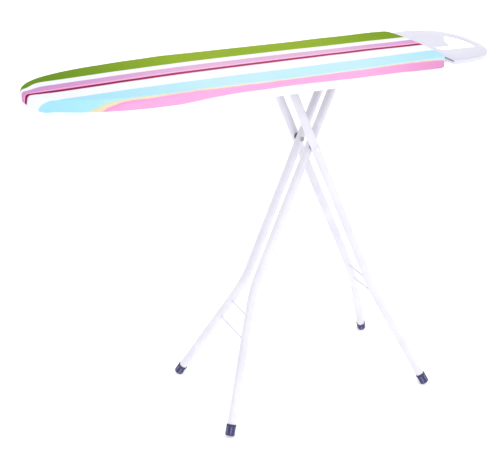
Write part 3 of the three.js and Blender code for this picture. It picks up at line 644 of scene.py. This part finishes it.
# Height of the soft far edge along the board, in mm against distance from the nose in m.
FAR_EDGE = ((0.06, 0.5), (0.14, -0.4), (0.235, -1.5), (0.39, 1.3), (0.56, -0.6), (0.67, -1.6), (0.78, -2.4),
            (0.86, -1.8), (1.0, -0.8))


def edge_wave(points):
    """Rise and fall of the soft upper edge along the board."""
    waves = []
    for x, y in points:
        swell = np.interp(x - NOSE_X, *zip(*FAR_EDGE)) if y > 0 else -0.3
        flutter = 0.6 * lumps(x * 12, 2 * math.copysign(1, y), 5.1)
        waves.append((swell + flutter) * MM * (1 - math.exp(-(abs(y) / 0.05) ** 2)))
    return np.array(waves)


# Rings of the top, as shares of the way from its middle line to its rounded edge.
TOP_SHARES = (0, 0.08, 0.17, 0.26, 0.35, 0.44, 0.53, 0.62, 0.70, 0.78, 0.85, 0.91, 0.96, 1.0)
TOP_RINGS = len(TOP_SHARES)
ROLL_ROWS, SIDE_ROWS = 4, 8


def cover_rings(points, normals):
    """Rings of the cover from the middle of the top to the turned-under edge.
    Each ring is (x, y, z) per outline point, with its place on the flat cloth."""
    spine = middle_line(points, COVER_LOW, COVER_HIGH)
    distance = points[:, 0] - NOSE_X
    depth, tuck = side_depth(distance), tuck_depth(distance)
    tail = np.maximum(normals[:, 0], 0) ** 2
    nose = np.exp(-(np.maximum(distance, 0) / 0.03) ** 2)
    roll_in = (4.5 + 6.5 * tail + 2 * nose)[:, None] * MM
    roll_down = (4.5 + 1.0 * tail + 2.5 * nose) * MM
    arc = (roll_in[:, 0] + roll_down) * math.pi / 4
    rise = edge_wave(points)
    flat = points - normals * roll_in
    level = np.full(len(points), TOP_Z)
    rings = []
    for share in TOP_SHARES:
        place = spine + (flat - spine) * share
        rings.append((place, level + rise * share ** 6, place))
    for i in range(1, ROLL_ROWS + 1):
        angle = i / ROLL_ROWS * math.pi / 2
        rings.append((flat + normals * roll_in * math.sin(angle),
                      level + rise - roll_down * (1 - math.cos(angle)),
                      flat + normals * (arc * i / ROLL_ROWS)[:, None]))
    for i in range(1, SIDE_ROWS + 1):
        fall = (depth - HEM_FOLD - roll_down) * i / SIDE_ROWS
        rings.append((points, level + rise * (1 - i / SIDE_ROWS) - roll_down - fall,
                      flat + normals * (arc + fall)[:, None]))
    foot = flat + normals * (arc + depth - HEM_FOLD - roll_down)[:, None]
    for i in range(1, 3):
        angle = i / 2 * math.pi / 2
        rings.append((points - normals * (HEM_FOLD * (1 - math.cos(angle))),
                      TOP_Z - depth + HEM_FOLD * (1 - math.sin(angle)), foot + normals * (i * HEM_FOLD)))
    for share in (0.35, 0.7, 1.0):
        inward = HEM_FOLD + (tuck - HEM_FOLD) * share
        rings.append((points - normals * inward[:, None], TOP_Z - depth + 0.4 * MM * share,
                      foot + normals * (HEM_FOLD + inward)[:, None]))
    return rings


def cover_mesh():
    points = smooth_outline("cover", TOP_Z, COVER_STEP)
    normals = outward(points)
    rings = cover_rings(points, normals)
    columns = len(points)
    places = [(x, y, z) for place, height, _ in rings for (x, y), z in zip(place, height)]
    flat = np.array([p for _, _, unfolded in rings for p in unfolded])
    flat[:, 1] = [print_place(x - NOSE_X, y) for x, y in flat]
    mesh = mesh_of(places, grid_faces(len(rings), columns))
    layer = mesh.uv_layers.new(name="cloth")
    for loop_corner in mesh.loops:
        layer.data[loop_corner.index].uv = flat[loop_corner.vertex_index]
    return mesh, columns, len(rings), normals


def ripple(distance_round, depth, lively):
    """Soft puckers that run down the side, deeper towards the hem."""
    broad = lumps(distance_round * 14, depth * 8, 3.1)
    narrow = lumps(distance_round * 47, depth * 12, 7.7)
    return (1.1 * broad + 0.7 * narrow) * lively * MM


SIM_FRAMES = 22
CLOTH_SETTINGS = {
    "quality": 7, "mass": 0.12, "tension_stiffness": 25, "compression_stiffness": 25, "shear_stiffness": 12,
    "bending_stiffness": 0.25, "vertex_group_mass": "held", "pin_stiffness": 1,
    "vertex_group_shrink": "drawn", "shrink_min": 0.0, "shrink_max": 0.16}
MOST_IN, MOST_OUT, MOST_UP = 0.5 * MM, 4 * MM, 2.5 * MM      # caps on how far the simulation moves a point


def settle_cover(piece, columns, rows):
    """Cloth simulation: the hem draws together, the side puckers and the loose stretches hang.
    The top stays on its pad, and no point moves further than the cloth has room for."""
    rest = corners(piece.data)
    pin = piece.vertex_groups.new(name="held")
    hem = piece.vertex_groups.new(name="drawn")
    free_row = TOP_RINGS + 1
    for row in range(rows):
        members = list(range(row * columns, (row + 1) * columns))
        held = 1.0 if row < free_row else max(0.0, 0.85 - 0.3 * (row - free_row))
        if row == rows - 1:
            held = 0.25
        if held > 0:
            pin.add(members, held, "REPLACE")
        if row >= rows - 4:
            hem.add(members, 1.0, "REPLACE")
    cloth = piece.modifiers.new("cloth", "CLOTH")
    for name, value in CLOTH_SETTINGS.items():
        setattr(cloth.settings, name, value)
    cloth.settings.effector_weights.gravity = 0.6
    cloth.collision_settings.use_collision = False
    cloth.point_cache.frame_start = 1
    cloth.point_cache.frame_end = SIM_FRAMES
    for number in range(1, SIM_FRAMES + 1):
        bpy.context.scene.frame_set(number)
    evaluated = piece.evaluated_get(bpy.context.evaluated_depsgraph_get())
    moved = corners(evaluated.data)
    piece.modifiers.remove(cloth)
    bpy.context.scene.frame_set(1)
    return moved - rest


def shape_cover(piece, columns, rows, normals):
    """Lays the simulated shift, the puckers of the side and soft dents of the top on the cover."""
    mesh = piece.data
    rest = corners(mesh)
    shift = settle_cover(piece, columns, rows)
    way = np.zeros_like(rest)
    way[:, :2] = np.tile(normals, (rows, 1))
    out = np.einsum("ij,ij->i", shift, way)
    limited = np.clip(out, -MOST_IN, MOST_OUT)
    shift += (limited - out)[:, None] * way
    shift[:, 2] = np.clip(shift[:, 2], -MOST_UP, MOST_UP)
    row = np.arange(len(rest)) // columns
    shift[row < TOP_RINGS] = 0
    around = np.tile(np.arange(columns) * COVER_STEP, rows)
    for index, (x, y, _) in enumerate(rest):
        if row[index] >= TOP_RINGS + 1:
            share = min(1.0, (row[index] - TOP_RINGS) / (rows - 5 - TOP_RINGS))
            puff = ripple(around[index], 0.01 * share, share)
            shift[index] += way[index] * max(puff, -0.4 * MM)
        elif row[index] < TOP_RINGS:
            soft = lumps(x * 7, y * 9, 0.4) + 0.5 * lumps(x * 19, y * 23, 2.4)
            shift[index][2] += 0.4 * MM * soft
    for vertex, place in zip(mesh.vertices, rest + shift):
        vertex.co = place


def weld_spine(mesh):
    """Joins the two halves of the innermost ring along the middle line."""
    with editing(mesh) as bm:
        spine = [v for v in bm.verts if abs(v.co.y) < 1e-5]
        bmesh.ops.remove_doubles(bm, verts=spine, dist=1e-5)
        thin = [f for f in bm.faces if f.calc_area() < 1e-10]
        bmesh.ops.delete(bm, geom=thin, context="FACES")
        bmesh.ops.recalc_face_normals(bm, faces=bm.faces)


END_CLOTH = (30.5 + 15) * MM     # the same at the nose and the tail


def make_cover():
    mesh, columns, rows, normals = cover_mesh()
    piece = add_object("cotton_cover", mesh, printed_cotton(), "board", ["cover"])
    shape_cover(piece, columns, rows, normals)
    seam = [mesh.vertices[(rows - 2) * columns + i].co.copy() for i in range(columns)]
    weld_spine(mesh)
    modify(piece, "soft", "SUBSURF", levels=1, render_levels=1)
    modify(piece, "cloth_thickness", "SOLIDIFY", thickness=CLOTH, offset=-1)
    stitches = make_stitches(seam)
    length = LENGTH + 2 * END_CLOTH
    round(length, 3)


# Sections of one stitch: share of its length, radius and lift in mm.
STITCH = ((0, 0.12, -0.25), (0.2, 0.3, 0.1), (0.5, 0.36, 0.2), (0.8, 0.3, 0.1), (1, 0.12, -0.25))


def make_stitches(seam):
    """A row of lock stitches round the turned-under hem, 3 mm long, each sunk a little at its ends."""
    normal = Vector((0, 0, -1))
    line = np.array([tuple(p + normal * 0.15 * MM) for p in seam + seam[:1]])
    along = distances_along(line)
    at = lambda s: Vector([np.interp(s % along[-1], along, line[:, k]) for k in range(3)])
    pitch, stitch = 3.6 * MM, 2.8 * MM
    points, faces = [], []
    sides = 6
    for i in range(int(along[-1] / pitch)):
        start, end = at(i * pitch), at(i * pitch + stitch)
        along_way = (end - start).normalized()
        other = along_way.cross(normal).normalized()
        base = len(points)
        for share, size, lift in STITCH:
            centre = start.lerp(end, share) + normal * lift * MM
            points += circle(centre, normal, other, size * MM, sides)
        faces += [tuple(base + k for k in face) for face in grid_faces(5, sides)]
        faces.append(tuple(base + k for k in range(sides)))
        faces.append(tuple(base + 4 * sides + k for k in range(sides)))
    mesh = mesh_of(points, faces)
    return add_object("hem_stitches", mesh, thread(), "board")


# ---- pad and perforated top ----


PAD_SHARES = (0, 0.25, 0.5, 0.7, 0.86, 0.95)     # rings of its flat faces, as in TOP_SHARES


def make_pad():
    """The foam: flat, with rounded edges, and as low as the cover along its soft far edge."""
    low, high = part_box("foam_pad")
    points = smooth_outline("foam_pad", high.z, 8 * MM)
    normals = outward(points)
    spine = middle_line(points, low, high)
    thick = high.z - low.z
    edge = [(0.0, 0.5), (0.3, 0.2), (1.2, 0.06), (3.2, 0.0)]     # inset in mm, share of the thickness
    lower = [(thick * share, inset * MM) for inset, share in reversed(edge)]
    upper = [(thick * (1 - share), inset * MM) for inset, share in edge[1:]]
    sag = np.minimum(edge_wave(points) * 1.15, 0)
    level = 0 * sag
    inner = points - normals * 3.5 * MM - spine
    rings = [(spine + inner * share, level + low.z, 0) for share in PAD_SHARES]
    rings += [(points - normals * inset, level + low.z + height, 0) for height, inset in lower]
    rings += [(points - normals * inset, low.z + height + sag, 0) for height, inset in upper]
    rings += [(spine + inner * share, high.z + sag * share ** 5, 0.25 * MM) for share in reversed(PAD_SHARES)]
    places = []
    for place, heights, dented in rings:
        for (x, y), height in zip(place, heights):
            places.append((x, y, height + min(dented * lumps(x * 11, y * 13, 1.7), 0)))
    mesh = mesh_of(places, grid_faces(len(rings), len(points)))
    weld_spine(mesh)
    piece = add_object("pad", mesh, foam(), "board", ["foam_pad"])


HOLE_PITCH = 11.5 * MM
HOLE_RADIUS = 3.1 * MM
PLAIN_BORDER = 16 * MM
CELL_RIM = ((-1, -1), (0, -1), (1, -1), (1, 0), (1, 1), (0, 1), (-1, 1), (-1, 0))


def make_top_plate():
    """The steel top, pierced all over so that steam gets out, with a plain border."""
    low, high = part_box("top_plate")
    z = high.z
    outline = smooth_outline("top_plate", z, 8 * MM)
    inner = outline - outward(outline) * PLAIN_BORDER
    edges = list(zip(inner, np.roll(inner, -1, 0)))

    def inside(x, y):
        found = False
        for (ax, ay), (bx, by) in edges:
            if (ay > y) != (by > y) and x < (bx - ax) * (y - ay) / (by - ay) + ax:
                found = not found
        return found

    bm = bmesh.new()
    columns = int((high.x - low.x) / HOLE_PITCH) + 1
    rows = 2 * int((high.y - low.y) / HOLE_PITCH / 2) + 1
    start_x = (low.x + high.x) / 2 - columns / 2 * HOLE_PITCH
    half = HOLE_PITCH / 2
    known = {}

    def vertex(place):
        key = tuple(round(value, 6) for value in place)
        if key not in known:
            known[key] = bm.verts.new(place)
        return known[key]

    for i, j in np.ndindex(columns, rows):
        cx, cy = start_x + (i + 0.5) * HOLE_PITCH, (j - rows // 2) * HOLE_PITCH
        if all(inside(cx + a * half, cy + b * half) for a in (-1, 1) for b in (-1, 1)):
            ring = [vertex((cx + half * x, cy + half * y, z)) for x, y in CELL_RIM]
            gap = []
            for x, y in CELL_RIM:
                angle = math.atan2(y, x)
                place = (cx + HOLE_RADIUS * 1.25 * math.cos(angle), cy + HOLE_RADIUS * math.sin(angle), z)
                gap.append(bm.verts.new(place))
            bridge(bm, ring, gap)
    outer_ring = set(known.values())
    stair = [e for e in bm.edges if len(e.link_faces) == 1 and all(v in outer_ring for v in e.verts)]
    border_verts = [bm.verts.new((x, y, z)) for x, y in outline]
    rim = [bm.edges.new((a, b)) for a, b in zip(border_verts, border_verts[1:] + border_verts[:1])]
    bmesh.ops.triangle_fill(bm, use_beauty=True, edges=stair + rim)
    bmesh.ops.recalc_face_normals(bm, faces=bm.faces)
    mesh = mesh_from(bm)
    paint = powder_coat("top_plate_paint")
    piece = add_object("pierced_top", mesh, paint, "board", ["top_plate"])
    inward = -1 if mesh.polygons[0].normal.z > 0 else 1
    modify(piece, "sheet", "SOLIDIFY", thickness=high.z - low.z, offset=inward)


# ---- iron rest ----


REST_BAY = (0.549, -0.047)        # middle of the opening's broad bay
REST_STRETCH = 6 * MM             # how much further the tip reaches than the plain outline
RIM_SHORTER = 1.8                 # in mm


def make_iron_rest():
    """Pressed sheet: a flat middle, a border that falls away, a rolled edge and a turned-in opening."""
    low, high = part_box("iron_rest")
    z = high.z
    outline = smooth_outline("iron_rest", z, 2.5 * MM, sharp=40, rounding=5)
    opening = smooth_outline("iron_rest", z, 2 * MM, rounding=3, number=1)
    middle = np.array(((low.x + high.x) / 2 - 6 * MM, 0.0))
    # In mm: thickness of the sheet, fall of its border, radius of the rolled edge, and its outset.
    sheet, fall, roll, grown = 1.3, 0.9, 2.4, 1.2
    outline[:, 0] += REST_STRETCH * smoothstep(outline[:, 0], high.x - 0.11, high.x)
    rim = (high.z - low.z) / MM - RIM_SHORTER

    def towards(points, centre, inset):
        way = centre - points
        length = np.linalg.norm(way, axis=1, keepdims=True)
        return points + way / length * inset

    outer_profile = [(16, 0), (12, 0.12 * fall), (8, 0.45 * fall), (4.5, 0.8 * fall)]
    outer_profile += [
        (roll * (1 - math.sin(a)), fall + roll * (1 - math.cos(a))) for a in np.linspace(0.3, math.pi / 2, 6)]
    outer_profile += [(0, rim), (sheet, rim), (sheet, fall + roll), (3.4, fall + sheet + 0.4)]
    outer_profile += [(8, 0.45 * fall + sheet), (12, 0.12 * fall + sheet), (16, sheet)]
    outer_profile = [(inset - grown, drop) for inset, drop in outer_profile]
    lip_profile = [(-4, 0), (-2.2, 0.1), (-1, 0.5), (-0.25, 1.2), (0, 2.0), (0, 2.6), (-1.2, 2.6),
                   (-1.3, 2.2), (-2, 1.6), (-4, sheet)]
    bm = bmesh.new()
    ends = []
    borders = ((outline, middle, outer_profile), (opening, np.array(REST_BAY), lip_profile))
    for loop, centre, profile in borders:
        rings = []
        for inset, drop in profile:
            place = towards(loop, centre, inset * MM)
            rings.append([bm.verts.new((x, y, z - drop * MM)) for x, y in place])
        for first, second in zip(rings, rings[1:]):
            bridge(bm, first, second)
        ends.append((rings[0], rings[-1]))
    bm.edges.ensure_lookup_table()
    for level in (0, 1):
        edges = []
        for pair in ends:
            ring = pair[level]
            edges += [bm.edges.get((a, b)) for a, b in zip(ring, ring[1:] + ring[:1])]
        bmesh.ops.triangle_fill(bm, use_beauty=True, edges=edges)
    bmesh.ops.recalc_face_normals(bm, faces=bm.faces)
    mesh = mesh_from(bm)
    smooth_all(mesh)
    sharpen(mesh, 30)
    paint = powder_coat("rest_paint", tint=(226, 224, 238), shade=(218, 216, 232))
    add_object("rest_sheet", mesh, paint, "board", ["iron_rest"])
    bosses = []
    for hand in ("left", "right"):
        screw_low, screw_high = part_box(f"rest_screw_{hand}")
        middle_x, middle_y = (screw_low.x + screw_high.x) / 2, (screw_low.y + screw_high.y) / 2
        foot, top = low.z + 2 * MM, z - sheet * MM
        hole = 2.9 * MM
        boss = [(hole, foot), (6.2 * MM, foot), (7 * MM, foot + 1 * MM), (7.4 * MM, top), (hole, top),
                (hole, foot)]
        bosses.append(turned(boss, (middle_x, middle_y, 0), (0, 0, 1)))
    add_object("rest_bosses", join_meshes(bosses), weld_paint(), "board")


def make_rest_gap_shade():
    """A dark soft strip along the front edge of the iron rest, next to the pad: painted shade standing in for
    the shadow gap between the cover and the rest.
    """
    low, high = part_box("iron_rest")
    outline = level_loops("iron_rest", high.z)[0]
    edge = [p for p in outline if p.x < low.x + 8 * MM and abs(p.y) < high.y - 3 * MM]
    edge.sort(key=lambda p: p.y)
    path = []
    for first, second in zip(edge, edge[1:]):
        count = max(1, round((second - first).length / (4 * MM)))
        path += [first.lerp(second, k / count) for k in range(count)]
    path = [(p.x + 0.4 * MM, p.y, high.z - 2.9 * MM) for p in path + edge[-1:]]
    sizes = [min(1.8, 1.0 + 0.4 * min(k, len(path) - 1 - k)) * MM for k in range(len(path))]
    mesh = sweep(path, sizes, 16)
    # painted shade: the grey of the shadow gap at the rest's front edge
    look = dark_plastic("gap_shade_plastic", (112, 110, 122), (132, 129, 142))
    add_object("rest_gap_shade", mesh, look, "board")


# ---- leg frames ----


def centreline(node, count=90):
    """Points down the middle of a leg tube, found from level slices through its CAD node."""
    mesh = frame["nodes"][node].data
    places = corners(mesh)
    ends = np.array([edge.vertices[:] for edge in mesh.edges])
    low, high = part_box(node)
    line = []
    for z in np.linspace(high.z - 0.028, low.z + 0.016, count):
        first, second = places[ends[:, 0]], places[ends[:, 1]]
        crosses = (first[:, 2] - z) * (second[:, 2] - z) < 0
        first, second = first[crosses], second[crosses]
        share = (z - first[:, 2]) / (second[:, 2] - first[:, 2])
        cut = first + share[:, None] * (second - first)
        line.append((cut.min(0) + cut.max(0)) / 2)
    line = np.array(line)
    for _ in range(6):
        line[1:-1] = (line[:-2] + 2 * line[1:-1] + line[2:]) / 4
    return [Vector(p) for p in line]


def saddle_weld(line, pivot):
    """The bead where a leg meets its top tube of the same size."""
    down = (line[4] - line[0]).normalized()
    across = Vector((0, 1, 0))
    fore = down.cross(across).normalized()
    start = Vector((pivot.x, line[0].y, pivot.z))
    path, sizes = [], []
    for k in range(64):
        angle = math.tau * k / 64
        reach = TUBE_RADIUS * abs(math.sin(angle))
        path.append(start + down * reach + TUBE_RADIUS * (math.cos(angle) * fore + math.sin(angle) * across))
        sizes.append((1.5 + 0.35 * math.sin(angle * 23)) * MM)
    return sweep(path, sizes, 10, closed=True)


def rod_bead(place, radius):
    """The bead round the end of a rod."""
    path = circle(place, Vector((1, 0, 0)), Vector((0, 0, 1)), radius, 28)
    sizes = [(1.05 + 0.25 * math.sin(math.tau * k / 28 * 7)) * MM for k in range(28)]
    return sweep(path, sizes, 8, closed=True)


def make_leg(label, hand, body, pivot, paint, welds):
    """One bent tube from its top tube down into its foot."""
    node = f"{label}_leg_{hand}"
    line = centreline(node)
    up = (line[0] - line[3]).normalized()
    reach = (pivot.z - line[0].z) / up.z
    top = line[0] + up * (reach - 0.35 * TUBE_RADIUS)
    down = (line[-1] - line[-4]).normalized()
    end = line[-1] + down * FOOT_DEPTH
    mesh = sweep([top, *line, end], TUBE_RADIUS, 40)
    add_object(f"{label}_tube_{hand}", mesh, paint, body, [node])
    welds.append(saddle_weld(line, pivot))
    make_foot(label, hand, body, line)


RIBS = 7
FOOT_LENGTH = 30 * MM
FOOT_DEPTH = 8 * MM          # how far a tube reaches into its foot past the last slice
FOOT_RADIUS = 12.7           # in mm, at the crests of the ribs


def make_foot(label, hand, body, line):
    """A moulded rubber cap: ribbed side, plain collar, rounded lower edge worn flat on the floor."""
    node = f"{label}_foot_{hand}"
    up = (line[-4] - line[-1]).normalized()
    places = corners(frame["nodes"][node].data)
    origin = line[-1]
    heights = (places - np.array(origin)) @ np.array(up)
    base = origin + up * (float(heights.max()) - FOOT_LENGTH)
    profile = [(0, 0), (7, 0), (10.3, 0), (11.4, 0.35), (12.1, 1.1), (12.5, 2.1), (FOOT_RADIUS, 3.4)]
    profile += [(FOOT_RADIUS, height) for height in np.linspace(4.5, 23.0, 14)]
    collar = ((0.05, 24.2), (0.25, 25), (0.25, 28.8), (-0.15, 29.6), (-0.9, 30))
    profile += [(FOOT_RADIUS + past, height) for past, height in collar]
    profile += [(11.4, 30), (11.2, 29.4), (11.2, 9), (0, 8.6)]
    other = up.cross(Vector((0, -1, 0))).normalized()
    side = other.cross(up)
    columns = RIBS * 16
    points, crests = [], []
    for radius, height in profile:
        ribbed = 3.4 < height < 24 and radius > 12
        fade = min(1.0, (height - 3.4) / 1.5, (24.2 - height) / 1.5) if ribbed else 0.0
        for j in range(columns):
            angle = math.tau * j / columns
            wave = 0.5 - 0.5 * math.cos(angle * RIBS)
            reach = float(max(radius - 0.65 * fade * (1 - wave ** 0.6), 0.001)) * MM
            place = base + up * float(height * MM)
            place += reach * (math.cos(angle) * side + math.sin(angle) * other)
            place.z = max(place.z, 0.0)
            points.append(place)
            crests.append(wave if ribbed else 0.35)
    mesh = mesh_of(points, grid_faces(len(profile), columns))
    crest = mesh.attributes.new("crest", "FLOAT", "POINT")
    crest.data.foreach_set("value", crests)
    sharpen(mesh, 50)
    add_object(f"{label}_cap_{hand}", mesh, RUBBER, body, [node])


def make_rod(label, place, body, paint, welds):
    node = f"{label}_rod_{place}"
    low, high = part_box(node)
    x, z = (low.x + high.x) / 2, (low.z + high.z) / 2
    radius = (high.z - low.z) / 2
    ends = [Vector((x, low.y - 0.8 * MM, z)), Vector((x, high.y + 0.8 * MM, z))]
    path = [ends[0].lerp(ends[1], k / 8) for k in range(9)]
    mesh = sweep(path, radius, 20)
    add_object(f"{label}_bar_{place}", mesh, paint, body, [node])
    for end, inward in ((ends[0], 1), (ends[1], -1)):
        welds.append(rod_bead(end + Vector((0, inward * 0.9 * MM, 0)), radius))


def make_top_tube(label, body, paint):
    node = f"{label}_top_tube"
    low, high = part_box(node)
    middle = (low + high) / 2
    length = high.y - low.y
    outer, bore = TUBE_RADIUS, TUBE_RADIUS - 1.3 * MM
    profile = [
        (bore, 0), (bore + 0.3 * MM, 0), (outer - 0.4 * MM, 0), (outer, 0.4 * MM), (outer, length * 0.25),
        (outer, length * 0.5), (outer, length * 0.75), (outer, length - 0.4 * MM), (outer - 0.4 * MM, length),
        (bore, length), (bore, 0)]
    mesh = turned(profile, (middle.x, low.y, middle.z), (0, 1, 0), 48)
    add_object(f"{label}_pivot_tube", mesh, paint, body, [node])
    return middle


def make_leg_frame(label):
    body = f"{label}_legs"
    paint = powder_coat(f"{label}_frame_paint")
    welds = []
    pivot = make_top_tube(label, body, paint)
    for hand in ("left", "right"):
        make_leg(label, hand, body, pivot, paint, welds)
    for place in ("upper", "lower"):
        make_rod(label, place, body, paint, welds)
    add_object(f"{label}_welds", join_meshes(welds), weld_paint(), body)


# ---- mechanism ----


def make_rivet(hand):
    """A pivot rivet: a low head painted with the frame outside, and a flared tubular end inside."""
    low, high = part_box(f"pivot_rivet_{hand}")
    middle = (low + high) / 2
    facing = 1 if middle.y > 0 else -1
    start = (middle.x, low.y if facing > 0 else high.y, middle.z)
    length = (high.y - low.y) / MM
    shank = 3.9
    flared = [(0, 6), (2.2, 5.6), (2.2, 1.2), (2.6, 0.35), (3.3, 0), (4.3, 0.25), (5.3, 1.1), (6.2, 2.3),
              (6.4, 2.9), (shank, 2.9), (shank, length - 3), (0, length - 3)]
    domed = [(0, 3.2), (7.9, 3.2), (8, 2.7), (7.6, 1.9), (6.4, 1.1), (4.4, 0.45), (2.2, 0.1), (0, 0)]
    domed = [(radius, length - below) for radius, below in domed]
    parts = [("flare", flared, ZINC, "zinc_steel", [f"pivot_rivet_{hand}"]),
             ("dome", domed, weld_paint(), "white_steel", [])]
    for label, profile, look, slot, covers in parts:
        mesh = turned([(radius * MM, along * MM) for radius, along in profile], start, (0, facing, 0), 36)
        add_object(f"rivet_{label}_{hand}", mesh, look, "inner_legs", covers)


def make_spring():
    """The return spring of the release lever, as its coil."""
    low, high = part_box("lever_spring")
    middle = (low + high) / 2
    wire = 0.7 * MM
    radius = (high.z - low.z) / 2 - wire
    turns = 5
    path = []
    for k in range(turns * 28 + 1):
        angle = math.tau * k / 28
        share = k / (turns * 28)
        x = low.x + wire + (high.x - low.x - 2 * wire) * share
        path.append((x, middle.y + radius * math.cos(angle), middle.z + radius * math.sin(angle)))
    mesh = sweep(path, wire, 12)
    add_object("return_spring", mesh, ZINC, "board", ["lever_spring"])


def finish_cad_nodes():
    """Edges broken and surfaces finished on the CAD pieces that keep their own shape."""
    steel = powder_coat("bracket_paint")
    looks = {"white_steel": steel, "zinc_steel": ZINC, "dark_plastic": PLASTIC}
    slots = {part["node"]: part["material_slot"] for part in frame["record"]["subparts"]}
    for name, node in frame["nodes"].items():
        if node.hide_render:
            continue
        look = SPACER if name.startswith("pivot_spacer") else looks[slots[name]]
        node.data.materials.clear()
        node.data.materials.append(look)
        width, segments = (1.2 * MM, 3) if name == "lever_grip" else (0.25 * MM, 2)
        modify(node, "broken_edge", "BEVEL", limit_method="ANGLE", angle_limit=math.radians(50),
               width=width, segments=segments, harden_normals=False)
        modify(node, "weld", "WELD", merge_threshold=1e-5)
        node.modifiers.move(1, 0)
        smooth_all(node.data)


# ---- studio ----


def make_floor():
    """A pale sheet of backdrop paper that curves up far behind the object."""
    reach, bend, rise, turn = 14.0, 8.0, 5.0, 2.5
    profile = [(-reach, 0.0), (bend, 0.0)]
    for angle in np.linspace(0.15, math.pi / 2, 9):
        profile.append((bend + turn * math.sin(angle), turn * (1 - math.cos(angle))))
    profile.append((bend + turn, rise))
    points = [(-reach + 2 * reach * k / 8, y, z) for y, z in profile for k in range(9)]
    mesh = mesh_of(points, grid_faces(len(profile), 9, closed_columns=False))
    mesh.materials.append(studio_floor())
    placed("floor", mesh)


def soft_sun(name, towards, spread, strength):
    """A distant softbox: its light comes from the direction towards, spread over this many degrees."""
    data = bpy.data.lights.new(name, "SUN")
    data.angle = math.radians(spread)
    data.energy = strength * math.pi
    light = placed(name, data)
    light.rotation_euler = Vector(towards).to_track_quat("Z", "Y").to_euler()
    light.location = Vector(towards) * 3


def make_light():
    world = bpy.data.worlds.new("studio")
    bpy.context.scene.world = world
    world.use_nodes = True
    background = world.node_tree.nodes["Background"]
    background.inputs["Color"].default_value = (0.985, 0.988, 1.0, 1)
    background.inputs["Strength"].default_value = 0.42
    soft_sun("ceiling", (0.1, -0.1, 1), 80, 0.42)
    soft_sun("key", (-0.55, -0.75, 0.7), 40, 0.30)
    soft_sun("fill", (0.85, -0.6, 0.25), 60, 0.24)


# ---- assembly ----

RUBBER = foot_rubber()
ZINC = zinc()
PLASTIC = dark_plastic()
SPACER = dark_plastic("spacer_plastic", (86, 84, 92), (106, 103, 110))

make_cover()
make_pad()
make_top_plate()
make_iron_rest()
make_rest_gap_shade()
make_leg_frame("inner")
make_leg_frame("outer")
make_rivet("left")
make_rivet("right")
make_spring()
finish_cad_nodes()
make_floor()
make_light()
bpy.context.scene.view_settings.view_transform = "Standard"
